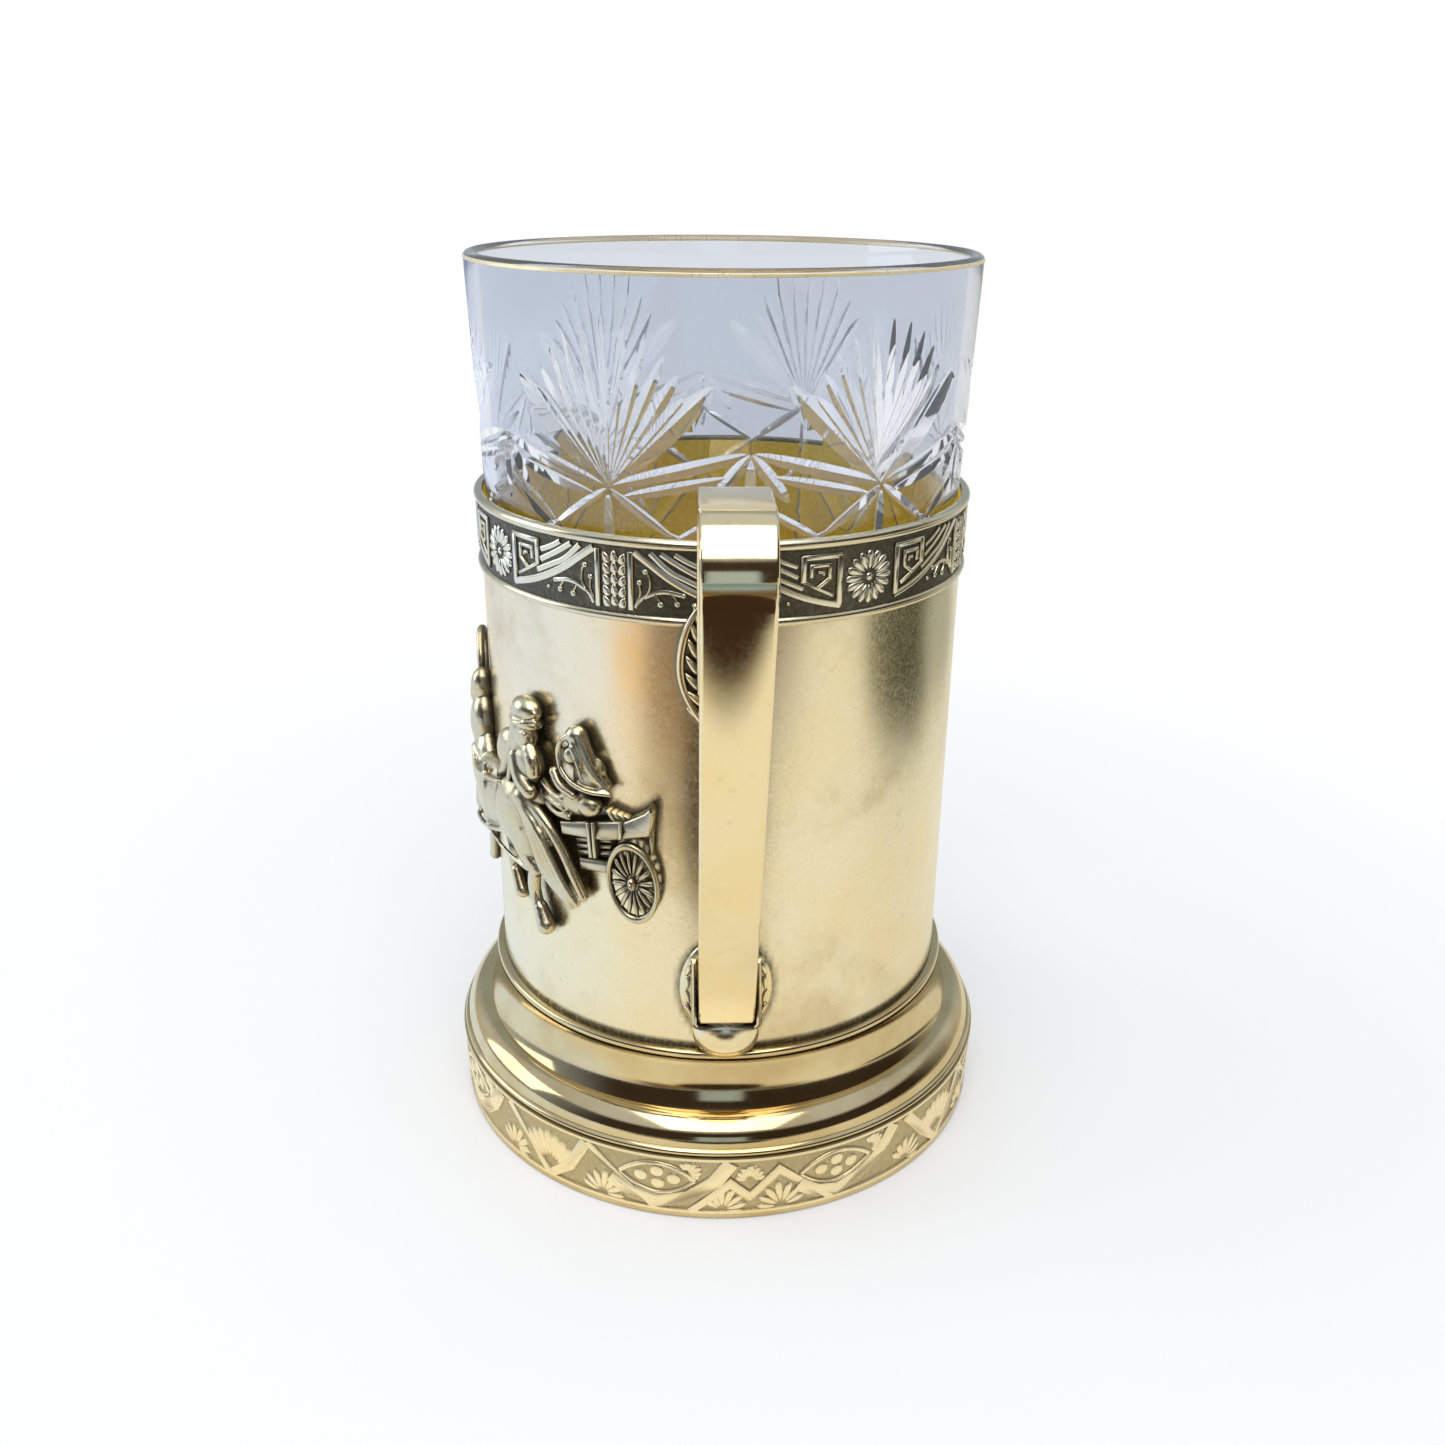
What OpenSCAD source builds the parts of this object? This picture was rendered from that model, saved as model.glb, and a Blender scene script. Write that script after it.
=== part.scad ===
// Podstakannik: a tea glass in a metal holder with a turned foot and a strap handle.
// Millimetres, +Z up. The origin is on the cup's axis, in the plane the foot rests on.
// The handle points along -Y.

/* [Cup] */
// Outer radius of the drawn cup wall
cup_r = 35.6; // [30:0.1:42]
// Thickness of the cup wall
cup_wall = 0.5; // [0.3:0.1:0.8]
// Height of the cup wall above the foot
cup_h = 74.9; // [64:0.1:86]
// Thickness of the disc that the glass stands on
floor_t = 1.2; // [0.8:0.1:2.5]
// Width of the ledge that the disc rests on
ledge_w = 2.0; // [1:0.1:4]

/* [Foot] */
// Sheet thickness of the spun foot
foot_wall = 0.8; // [0.5:0.1:1.2]
// Width of the flat lip turned in under the foot
lip_w = 4.6; // [3:0.1:7]
// Thickness of the flat lip
lip_t = 0.9; // [0.6:0.1:1.4]
// Height of the ornamented band
band_h = 10.2; // [8:0.1:13]
// Thickness of the ornamented band
band_t = 0.6; // [0.4:0.1:1]
// How far the top of the band stands outside the cup wall
band_out = 7.6; // [6:0.1:10]
// How far the band draws in from its top to its bottom
band_draw = 0.4; // [0:0.1:1]
// Thickness of the wire above the ornamented band
fillet_d = 1.2; // [0.8:0.1:1.6]
// Height of the lower moulding
lower_moulding_h = 3.7; // [3:0.1:5]
// How far the lower moulding swells out of its chord
lower_swell = 0.9; // [0.3:0.1:1.2]
// How far the lower moulding starts outside the upper one
step_out = 0.7; // [0.3:0.1:1.2]
// Height of the upper moulding
upper_moulding_h = 7.7; // [6:0.1:10]
// How far the upper moulding hollows in from its chord
upper_hollow = 0.9; // [0.3:0.1:1.2]
// How far the foot of the upper moulding stands outside the cup wall
upper_out = 2.7; // [2:0.1:4]
// Height of the bright ring under the groove
neck_h = 1.3; // [0.8:0.1:2.4]
// How far the bright ring stands out from the cup wall
neck_out = 1.3; // [0.9:0.1:1.8]

/* [Collar] */
// Height of the ornamented strip between its two wires
strip_h = 8.6; // [6:0.1:12]
// Thickness of the ornamented strip
strip_t = 0.4; // [0.3:0.1:0.6]
// Height of the upper wire
rim_wire_h = 1.5; // [1:0.1:2.2]
// How far the upper wire stands out from the cup wall
rim_wire_out = 0.8; // [0.6:0.1:1.4]
// Height of the lower wire
low_wire_h = 1.3; // [0.8:0.1:2]
// How far the lower wire stands out from the cup wall
low_wire_out = 0.7; // [0.5:0.1:1.4]

/* [Handle] */
// Width of the strap at its top
strap_top_w = 8.6; // [6:0.1:11]
// Width of the strap at its lower end
strap_end_w = 8.0; // [5:0.1:9]
// Thickness of the strap
strap_t = 2.6; // [2:0.1:3.2]
// How far the strap rises above the cup wall's top edge
handle_rise = 10.3; // [8:0.1:14]
// Radius of the bend at the shoulder, away from the cup
shoulder_bend_r = 7.8; // [6:0.1:9.5]
// Distance from the cup wall to the middle of the shoulder bend
shoulder_out = 20.0; // [16:0.1:25]
// Radius of the bend nearest the cup
inner_bend_r = 9.0; // [7:0.1:11]
// Gap between the strap and the cup wall beside the rim
strap_gap = 3.9; // [2.5:0.1:5]
// Height of the strap's root above the leaf plate's lower tip
root_up = 7.4; // [5:0.1:9]
// Height of the strap's lower end above the foot
strap_end_up = 4.6; // [3.5:0.1:7]
// Distance from the cup wall to the strap's front face at its lower end
strap_end_out = 3.1; // [3:0.1:4]

/* [Leaf plate] */
// How far the leaf plate's lower tip hangs below the collar
leaf_drop = 15.6; // [12:0.1:18]
// Length of the leaf plate
leaf_len = 21.0; // [15:0.1:24]
// Width of the leaf plate
leaf_w = 13.2; // [10:0.1:16]
// Thickness of the leaf plate
leaf_t = 1.9; // [1.5:0.1:3]

/* [Handle socket] */
// Height of the socket plate's lower tip above the foot
socket_up = 1.6; // [1:0.1:3]
// Length of the socket plate
socket_len = 17.2; // [14:0.1:20]
// Width of the socket plate
socket_w = 13.6; // [11:0.1:16]
// Thickness of the socket plate
socket_t = 1.7; // [1:0.1:2.4]
// Width of the rim round the strap's end
tray_rim = 1.2; // [0.8:0.1:1.6]
// How far the tray's rim stands out of the strap's face
tray_proud = 0.35; // [0.1:0.05:0.8]
// Height of the tray round the strap's end
tray_h = 13.4; // [10:0.1:15]
// Radius of the round knob under the tray
knob_r = 2.0; // [1.4:0.1:2.6]

/* [Glass] */
// Height of the glass
glass_h = 106.8; // [92:0.1:120]
// Clearance between the glass and the cup wall at its top edge
glass_gap = 0.4; // [0.3:0.1:1]
// How much wider in radius the glass is at its rim than at its foot
glass_flare = 4.1; // [3:0.1:6]
// Wall of the glass
glass_wall = 1.8; // [1.2:0.1:2.6]
// Thickness of the bottom of the glass
glass_base_t = 6.0; // [4:0.1:9]
// Radius of the round at the foot of the glass
glass_low_round = 2.0; // [1:0.1:3]
// Height of the gilt line round the rim
gilt_line_h = 0.9; // [0.5:0.1:1.6]
// Thickness of the gilt line
gilt_line_t = 0.06; // [0.04:0.01:0.12]

/* [Relief] */
// How far round the wall the relief's right edge lies from the handle
relief_gap = 8.9; // [7.5:0.1:12]
// Height of the horse's hooves above the foot
relief_up = 14.0; // [10:0.1:17]
// Depth of the relief's lowest forms
relief_low_t = 1.2; // [0.8:0.1:1.6]
// Depth of the relief's middle forms
relief_mid_t = 2.2; // [1.7:0.1:2.6]
// Depth of the relief's highest forms
relief_high_t = 3.6; // [2.7:0.1:4.2]
// Half the width of the wheel
wheel_half_w = 4.0; // [3:0.1:4.6]
// Half the height of the wheel
wheel_half_h = 6.1; // [5:0.1:7]
// Width of the wheel's rim
wheel_rim_w = 0.9; // [0.6:0.1:1.2]
// Number of spokes in the wheel
wheel_spokes = 12; // [8:1:16]
// Width of one spoke
spoke_w = 0.55; // [0.4:0.05:0.8]
// Radius of the wheel's hub
hub_r = 1.0; // [0.7:0.1:1.4]
// Length of the cart's box
cart_len = 13.6; // [11:0.1:15]
// Height of the cart's box
cart_h = 7.4; // [6:0.1:9]
// Length of the horse from its chest to its tail's root
horse_len = 27.0; // [24:0.1:28]
// Height of the horse from its hooves to its withers
horse_h = 23.0; // [19:0.1:25]
// Height of the driver from seat to hat
driver_h = 15.0; // [12:0.1:16]
// Height of the passenger from seat to head scarf
passenger_h = 15.8; // [13:0.1:17]
// Outer radius of the bow over the horse's neck
bow_r = 5.6; // [4.5:0.1:6.5]
// Thickness of the bow over the horse's neck
bow_t = 1.1; // [0.8:0.1:1.5]

/* [Hidden] */
$fn = 144;

cut = 0.5;
arc_steps = 12;
fine_steps = 40;

// The foot's parts stand one on another
band_low_z = lip_t;
band_top_z = band_low_z + band_h;
fillet_top_z = band_top_z + fillet_d;
step_z = fillet_top_z + lower_moulding_h;
neck_low_z = step_z + upper_moulding_h;
foot_h = neck_low_z + neck_h;
band_top_r = cup_r + band_out;
band_low_r = band_top_r - band_draw;
fillet_r = band_top_r - band_t - fillet_d / 4;
step_r = cup_r + upper_out;
neck_r = cup_r + neck_out;

// The cup stands on the foot, and the collar hangs from the cup's top edge
cup_in_r = cup_r - cup_wall;
cup_top_z = foot_h + cup_h;
floor_top_z = foot_h + floor_t;
strip_top_z = cup_top_z - rim_wire_h / 2;
rim_top_z = strip_top_z + rim_wire_h;
strip_low_z = strip_top_z - strip_h;
low_wire_z = strip_low_z - low_wire_h;
leaf_low_z = low_wire_z - leaf_drop;
socket_low_z = foot_h + socket_up;
relief_low_z = foot_h + relief_up;

// The strap's path, as distances from the cup's axis and heights: two bends joined by a flat top,
// and a straight run from each bend, one down to the leaf plate and one down to the socket
handle_top_z = cup_top_z + handle_rise;
inner_mid = [cup_r + strap_gap + inner_bend_r, handle_top_z - inner_bend_r];
shoulder_mid = [cup_r + shoulder_out, handle_top_z - shoulder_bend_r];
strap_root = [cup_r, leaf_low_z + root_up];
strap_end = [cup_r + strap_end_out, foot_h + strap_end_up];
tray_low_z = strap_end.y - tray_rim;
tray_top_z = tray_low_z + tray_h;
root_lean = lean_of(inner_mid - strap_root) - asin(inner_bend_r / norm(inner_mid - strap_root));
front_lean = lean_of(shoulder_mid - strap_end) + asin(shoulder_bend_r / norm(shoulder_mid - strap_end));

// The glass stands on the floor disc and just clears the cup's top edge
glass_z = floor_top_z;
rim_z = glass_z + glass_h;
glass_low_r = cup_in_r - glass_gap - glass_flare * (cup_top_z - glass_z) / glass_h;
glass_rim_r = glass_low_r + glass_flare;
inner_low_round = 3 * glass_low_round;

function lean_of(way) = atan2(way.x, way.y);
function front_face_r(z) = strap_end.x + (z - strap_end.y) * tan(front_lean);
function arc_at(mid, r, from, to, n) =
    [for (i = [0:n]) mid + r * [cos(from + (to - from) * i / n), sin(from + (to - from) * i / n)]];
function ellipse_at(mid, half_w, half_h, n) =
    [for (i = [0:n - 1]) mid + [half_w * cos(360 * i / n), half_h * sin(360 * i / n)]];
function scaled(points, size) = [for (p = points) [p.x * size.x, p.y * size.y]];
// An arc from p to q that swells to the right of the way by its sagitta
function swell_arc(p, q, sagitta, n) =
    let (chord = norm(q - p),
         r = (chord * chord / 4 + sagitta * sagitta) / (2 * sagitta),
         way = (q - p) / chord,
         side = [way.y, -way.x],
         mid = (p + q) / 2 - side * (r - sagitta),
         half = asin(chord / 2 / r),
         base = atan2(side.y, side.x))
    [for (i = [0:n]) mid + r * [cos(base - half + 2 * half * i / n), sin(base - half + 2 * half * i / n)]];

module ring(r, wall, low, high) {
    translate([0, 0, low])
        difference() {
            cylinder(r = r, h = high - low);
            translate([0, 0, -cut])
                cylinder(r = r - wall, h = high - low + 2 * cut);
        }
}

// The half-oval section of a wire laid on a wall
function half_oval(wall_r, out, low, high) =
    let (mid = (low + high) / 2, half = (high - low) / 2)
    [for (p = arc_at([0, 0], 1, -90, 90, arc_steps)) [wall_r + out * p.x, mid + half * p.y]];

// Runs its children along X, so that a drawing's X points away from the cup and its Y up
module side_view(w) {
    rotate([0, 0, -90])
        rotate([90, 0, 0])
            linear_extrude(w, center = true)
                children();
}

// Stands a drawing on the wall, a distance round from the handle, and pushes it outwards
module on_wall(around) {
    rotate([0, 0, around / cup_r * 180 / PI])
        rotate([90, 0, 0])
            linear_extrude(2 * cup_r)
                children();
}

module cup_shell() {
    color([0.80, 0.76, 0.64])
        ring(cup_r, cup_wall, foot_h, cup_top_z);
}

module cup_floor() {
    color([0.83, 0.68, 0.36])
        translate([0, 0, floor_top_z - floor_t])
            cylinder(r = cup_in_r, h = floor_t);
}

module rim_wire() {
    color([0.86, 0.81, 0.66])
        rotate_extrude()
            polygon(concat(half_oval(cup_r, rim_wire_out, strip_top_z, rim_top_z),
                [[cup_in_r, rim_top_z], [cup_in_r, cup_top_z], [cup_r, cup_top_z]]));
}

module frieze_strip() {
    color([0.36, 0.35, 0.31])
        ring(cup_r + strip_t, strip_t, strip_low_z, strip_top_z);
}

module lower_wire() {
    color([0.82, 0.78, 0.65])
        rotate_extrude()
            polygon(half_oval(cup_r, low_wire_out, low_wire_z, strip_low_z));
}

module neck_ring() {
    color([0.88, 0.83, 0.66])
        rotate_extrude()
            polygon(concat(
                [[cup_in_r - ledge_w, foot_h], [cup_in_r - ledge_w, neck_low_z], [neck_r, neck_low_z]],
                swell_arc([neck_r, neck_low_z + neck_h / 4], [neck_r - neck_out / 2, foot_h],
                    neck_h / 8, arc_steps)));
}

// The foot is one spun sheet: a hollow moulding, then a swelling one, over a plain wall for the band
module foot_shell() {
    out_r = band_top_r - band_t;
    low_r = band_low_r - band_t;
    lower = swell_arc([fillet_r, fillet_top_z], [step_r + step_out, step_z], lower_swell, arc_steps);
    hollow = swell_arc([neck_r, neck_low_z], [step_r, step_z], upper_hollow, arc_steps);
    upper = [for (i = [arc_steps:-1:0]) hollow[i]];
    color([0.78, 0.73, 0.58])
        rotate_extrude()
            polygon(concat(
                [[low_r, band_low_z], [out_r, band_top_z], [fillet_r, band_top_z]],
                lower, upper,
                [[cup_in_r, neck_low_z], [cup_in_r, neck_low_z - foot_wall]],
                [for (i = [arc_steps:-1:0]) upper[i] - [foot_wall, foot_wall / 2]],
                [for (i = [arc_steps:-1:0]) lower[i] - [foot_wall, foot_wall / 2]],
                [[out_r - foot_wall, band_top_z - foot_wall], [low_r - foot_wall, band_low_z]]));
}

module foot_fillet_wire() {
    color([0.88, 0.83, 0.66])
        rotate_extrude()
            polygon(half_oval(fillet_r, fillet_d / 2, band_top_z, fillet_top_z));
}

module foot_band() {
    color([0.80, 0.75, 0.58])
        rotate_extrude()
            polygon([[band_low_r, band_low_z], [band_top_r, band_top_z], [band_top_r - band_t, band_top_z],
                [band_low_r - band_t, band_low_z]]);
}

module foot_lip() {
    color([0.78, 0.73, 0.58])
        ring(band_low_r, lip_w, 0, lip_t);
}

module strap_drawing() {
    root_back = [strap_t / cos(root_lean), 0];
    end_back = [strap_t / cos(front_lean), 0];
    polygon(concat([strap_root],
        arc_at(inner_mid, inner_bend_r, 180 - root_lean, 90, arc_steps),
        arc_at(shoulder_mid, shoulder_bend_r, 90, -front_lean, arc_steps),
        [strap_end, strap_end - end_back],
        arc_at(shoulder_mid, shoulder_bend_r - strap_t, -front_lean, 90, arc_steps),
        arc_at(inner_mid, inner_bend_r - strap_t, 90, 180 - root_lean, arc_steps),
        [strap_root + root_back]));
}

// Gives a side drawing the strap's width, which narrows downwards
module strap_wide() {
    intersection() {
        side_view(2 * strap_top_w)
            children();
        rotate([90, 0, 0])
            linear_extrude(3 * cup_r)
                polygon([[-strap_end_w / 2, strap_end.y - cut], [strap_end_w / 2, strap_end.y - cut],
                    [strap_top_w / 2, handle_top_z + cut], [-strap_top_w / 2, handle_top_z + cut]]);
    }
}

module handle_strap() {
    color([0.84, 0.80, 0.66])
        difference() {
            strap_wide()
                strap_drawing();
            cylinder(r = cup_r, h = handle_top_z);
        }
}

// A leaf's outline, pointed below and rounded above, as shares of its width and length
leaf_shares = [[0, 0], [0.16, 0.10], [0.33, 0.22], [0.44, 0.36], [0.5, 0.52], [0.47, 0.67], [0.37, 0.80],
    [0.22, 0.92], [0, 1]];
function both_sides(half) = concat(half, [for (i = [len(half) - 2:-1:1]) [-half[i].x, half[i].y]]);

module handle_leaf() {
    color([0.70, 0.66, 0.54])
        difference() {
            intersection() {
                rotate([90, 0, 0])
                    linear_extrude(2 * cup_r)
                        translate([0, leaf_low_z])
                            polygon(scaled(both_sides(leaf_shares), [leaf_w, leaf_len]));
                ring(cup_r + leaf_t, leaf_t, leaf_low_z - cut, cup_top_z);
            }
            translate([0, 0, low_wire_z])
                cylinder(r = cup_r + low_wire_out, h = cup_top_z);
            strap_wide()
                strap_drawing();
        }
}

module tray_drawing() {
    polygon([[cup_r - cut, tray_low_z],
        [strap_end.x + tray_proud, tray_low_z],
        [front_face_r(tray_top_z - tray_h / 3) + tray_proud, tray_top_z - tray_h / 3],
        [front_face_r(tray_top_z) - strap_t, tray_top_z],
        [cup_r - cut, tray_top_z]]);
}

// The tray's open front, where the strap's face lies bare between the tray's rims
module tray_mouth_drawing() {
    polygon([strap_end, [2 * cup_r, strap_end.y], [2 * cup_r, tray_top_z],
        [front_face_r(tray_top_z), tray_top_z]]);
}

// The socket's plate is an oval with a tray on it that holds the strap's end
module handle_socket() {
    color([0.72, 0.68, 0.56])
        difference() {
            union() {
                intersection() {
                    rotate([90, 0, 0])
                        linear_extrude(2 * cup_r)
                            polygon(ellipse_at([0, socket_low_z + socket_len / 2], socket_w / 2,
                                socket_len / 2, fine_steps));
                    ring(cup_r + socket_t, socket_t, socket_low_z - cut, cup_top_z);
                }
                side_view(strap_end_w + 2 * tray_rim)
                    tray_drawing();
                translate([0, -strap_end.x, tray_low_z])
                    sphere(r = knob_r);
            }
            cylinder(r = cup_r, h = cup_top_z);
            strap_wide()
                strap_drawing();
            strap_wide()
                tray_mouth_drawing();
        }
}

// Where the relief's figures stand, as shares of the cart's and the horse's sizes
wheel_height_share = 0.54;
passenger_along_share = 0.68;
passenger_sunk_share = 0.4;
passenger_w_share = 0.55;
driver_along_share = 1.5;
driver_height_share = 0.857;
driver_w_share = 0.56;
head_height_share = 0.82;
head_r_share = 0.2;
horse_along_share = 1.6;
bow_along_share = 0.34;
bow_rise_share = 0.5;

// Places of the relief's figures along the wall, from the wheel's right edge leftwards
wheel_at = -relief_gap - wheel_half_w;
wheel_z = relief_low_z + horse_h * wheel_height_share;
cart_right = -relief_gap - hub_r;
cart_low_z = wheel_z + hub_r;
seat_z = cart_low_z + cart_h;
passenger_at = cart_right - cart_len * passenger_along_share;
passenger_z = seat_z - cart_h * passenger_sunk_share;
driver_at = cart_right - cart_len * driver_along_share;
driver_z = relief_low_z + horse_h * driver_height_share;
head_r = driver_h * head_r_share;
horse_mid = cart_right - cart_len * horse_along_share - horse_len / 2;
bow_at = horse_mid - horse_len * bow_along_share;
bow_z = relief_low_z + horse_h + bow_r * bow_rise_share;

// Outlines as shares of each figure's own width and height
cart_box_shares = [[-1, 0.32], [-0.80, 0.10], [-0.40, 0.06], [0, 0.50], [0.02, 0.96], [-0.10, 1],
    [-0.96, 0.70]];
cart_rail_shares = [[-1.02, 0.49], [-0.50, 0.58], [0.02, 0.80], [0.04, 1.06], [-0.06, 1.08], [-0.52, 0.88],
    [-1.04, 0.80]];
cart_back_shares = [[-0.52, 0.80], [-0.46, 1.60], [-0.36, 1.56], [-0.12, 1.28], [-0.06, 1.44], [0.02, 1.46],
    [0.03, 0.80]];
passenger_shares = [[-0.42, 0], [0.46, 0], [0.58, 0.22], [0.44, 0.46], [0.24, 0.80], [-0.02, 0.98],
    [-0.20, 1], [-0.34, 0.86], [-0.40, 0.66], [-0.30, 0.46], [-0.50, 0.22]];
driver_shares = [[-0.30, 0.02], [0.34, 0], [0.42, 0.30], [0.30, 0.56], [0.24, 0.68], [-0.20, 0.70],
    [-0.42, 0.50], [-0.46, 0.24]];
horse_shares = [[0.50, 0.72], [0.48, 0.88], [0.36, 0.98], [0.20, 0.98], [0.02, 0.92], [-0.14, 0.98],
    [-0.28, 1.14], [-0.40, 1.36], [-0.52, 1.42], [-0.66, 1.26], [-0.74, 1.14], [-0.70, 1.06], [-0.58, 1.10],
    [-0.50, 1.06], [-0.46, 0.86], [-0.50, 0.70], [-0.40, 0.52], [-0.20, 0.46], [0.08, 0.44], [0.24, 0.52],
    [0.34, 0.48]];
hind_leg_shares = [[0.48, 0.72], [0.20, 0.56], [0.38, 0.44], [0.52, 0.36], [0.56, 0.18], [0.58, 0.02],
    [0.68, 0], [0.70, 0.05], [0.63, 0.20], [0.62, 0.44]];
far_hind_leg_shares = [[0.26, 0.58], [0.10, 0.50], [0.20, 0.34], [0.26, 0.20], [0.34, 0.10], [0.42, 0.11],
    [0.34, 0.24], [0.30, 0.46]];
fore_leg_shares = [[-0.30, 0.52], [-0.46, 0.60], [-0.72, 0.58], [-0.80, 0.40], [-0.76, 0.32], [-0.70, 0.34],
    [-0.68, 0.48], [-0.50, 0.48]];
far_fore_leg_shares = [[-0.22, 0.50], [-0.40, 0.48], [-0.50, 0.26], [-0.56, 0.08], [-0.50, 0.02],
    [-0.44, 0.06], [-0.38, 0.28]];
tail_shares = [[0.46, 0.93], [0.66, 0.92], [0.78, 0.84], [0.87, 0.69], [0.98, 0.36], [0.84, 0.28],
    [0.69, 0.46], [0.52, 0.68]];

// The corners of one spoke, which is narrower where the wheel is
function spoke_corners(turn) =
    [for (corner = [[0, -1], [1, -1], [1, 1], [0, 1]])
        let (along = corner.x * (wheel_half_h - wheel_rim_w / 2), across = corner.y * spoke_w / 2)
        [(along * cos(turn) - across * sin(turn)) * wheel_half_w / wheel_half_h,
         along * sin(turn) + across * cos(turn)]];

// Everything inside a skin of the given depth on the wall
module relief_layer(depth) {
    intersection() {
        ring(cup_r + depth, depth, relief_low_z - horse_h / 4, cup_top_z);
        union()
            children();
    }
}

module figure(at, z, shares, size) {
    on_wall(at)
        translate([0, z])
            polygon(scaled(shares, size));
}

module cart_figure(shares) {
    figure(cart_right - cart_len / 2, cart_low_z, [for (p = shares) [p.x + 0.5, p.y]], [cart_len, cart_h]);
}

module cart_relief() {
    color([0.66, 0.62, 0.50]) {
        relief_layer(relief_low_t) {
            cart_figure(cart_box_shares);
            cart_figure(cart_back_shares);
            figure(horse_mid, relief_low_z, far_hind_leg_shares, [horse_len, horse_h]);
            figure(horse_mid, relief_low_z, far_fore_leg_shares, [horse_len, horse_h]);
            on_wall(wheel_at)
                translate([0, wheel_z])
                    for (i = [0:wheel_spokes - 1])
                        polygon(spoke_corners(360 * i / wheel_spokes));
            on_wall(bow_at)
                translate([0, bow_z])
                    difference() {
                        circle(r = bow_r);
                        circle(r = bow_r - bow_t);
                    }
        }
        relief_layer(relief_mid_t) {
            on_wall(wheel_at)
                translate([0, wheel_z])
                    difference() {
                        polygon(ellipse_at([0, 0], wheel_half_w, wheel_half_h, fine_steps));
                        polygon(ellipse_at([0, 0], wheel_half_w - wheel_rim_w, wheel_half_h - wheel_rim_w,
                            fine_steps));
                    }
            on_wall(wheel_at)
                translate([0, wheel_z])
                    circle(r = hub_r);
            cart_figure(cart_rail_shares);
            figure(passenger_at, passenger_z, passenger_shares,
                [passenger_h * passenger_w_share, passenger_h]);
            figure(horse_mid, relief_low_z, hind_leg_shares, [horse_len, horse_h]);
            figure(horse_mid, relief_low_z, fore_leg_shares, [horse_len, horse_h]);
            figure(horse_mid, relief_low_z, tail_shares, [horse_len, horse_h]);
        }
        relief_layer(relief_high_t) {
            figure(horse_mid, relief_low_z, horse_shares, [horse_len, horse_h]);
            figure(driver_at, driver_z, driver_shares, [driver_h * driver_w_share, driver_h]);
            on_wall(driver_at)
                translate([0, driver_z + driver_h * head_height_share])
                    circle(r = head_r);
        }
    }
}

// Radius of the glass's side, which leans out a little from foot to rim
function glass_side_r(z) =
    glass_low_r + (glass_rim_r - glass_low_r) * (z - glass_z) / (glass_h - glass_wall / 2);

module glass_tumbler() {
    low_z = glass_z + glass_low_round;
    in_low_z = glass_z + glass_base_t;
    lip_z = rim_z - glass_wall / 2;
    color([0.86, 0.88, 0.95, 0.4])
        rotate_extrude()
            polygon(concat([[0, glass_z]],
                arc_at([glass_side_r(low_z) - glass_low_round, low_z], glass_low_round, -90, 0, arc_steps),
                arc_at([glass_rim_r - glass_wall / 2, lip_z], glass_wall / 2, 0, 180, arc_steps),
                arc_at([glass_side_r(in_low_z + inner_low_round) - glass_wall - inner_low_round,
                    in_low_z + inner_low_round], inner_low_round, 0, -90, arc_steps),
                [[0, in_low_z]]));
}

module gilt_rim_line() {
    line_top_z = rim_z - glass_wall / 2;
    line_low_z = line_top_z - gilt_line_h;
    low_r = glass_side_r(line_low_z);
    top_r = glass_side_r(line_top_z);
    color([0.85, 0.66, 0.25])
        rotate_extrude()
            polygon([[low_r, line_low_z], [low_r + gilt_line_t, line_low_z],
                [top_r + gilt_line_t, line_top_z], [top_r, line_top_z]]);
}

cup_shell();
cup_floor();
rim_wire();
frieze_strip();
lower_wire();
neck_ring();
foot_shell();
foot_fillet_wire();
foot_band();
foot_lip();
handle_strap();
handle_leaf();
handle_socket();
cart_relief();
glass_tumbler();
gilt_rim_line();
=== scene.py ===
import bpy
import bmesh
from math import asin, atan2, cos, degrees, hypot, pi, radians, sin, sqrt
from mathutils import Matrix, Vector
from mathutils.bvhtree import BVHTree


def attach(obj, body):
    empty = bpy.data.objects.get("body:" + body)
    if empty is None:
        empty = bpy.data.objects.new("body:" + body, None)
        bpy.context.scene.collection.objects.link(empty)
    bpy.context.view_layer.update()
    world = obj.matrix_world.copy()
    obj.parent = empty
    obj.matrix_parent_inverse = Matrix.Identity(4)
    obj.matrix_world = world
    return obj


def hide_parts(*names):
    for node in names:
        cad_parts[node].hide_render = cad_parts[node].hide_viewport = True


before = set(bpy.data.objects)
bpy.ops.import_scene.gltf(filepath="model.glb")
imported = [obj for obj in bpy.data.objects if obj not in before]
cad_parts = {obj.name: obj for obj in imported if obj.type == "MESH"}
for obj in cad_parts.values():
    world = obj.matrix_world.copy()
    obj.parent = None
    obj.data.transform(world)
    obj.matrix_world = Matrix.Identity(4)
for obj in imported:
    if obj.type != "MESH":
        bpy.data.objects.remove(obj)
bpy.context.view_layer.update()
scene = bpy.context.scene
ops = bmesh.ops
mm = 0.001
print("frame loaded:", len(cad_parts), "nodes")


def toObject(name, bm):
    mesh = bpy.data.meshes.new(name)
    bm.to_mesh(mesh)
    bm.free()
    made = bpy.data.objects.new(name, mesh)
    scene.collection.objects.link(made)
    return made


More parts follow.
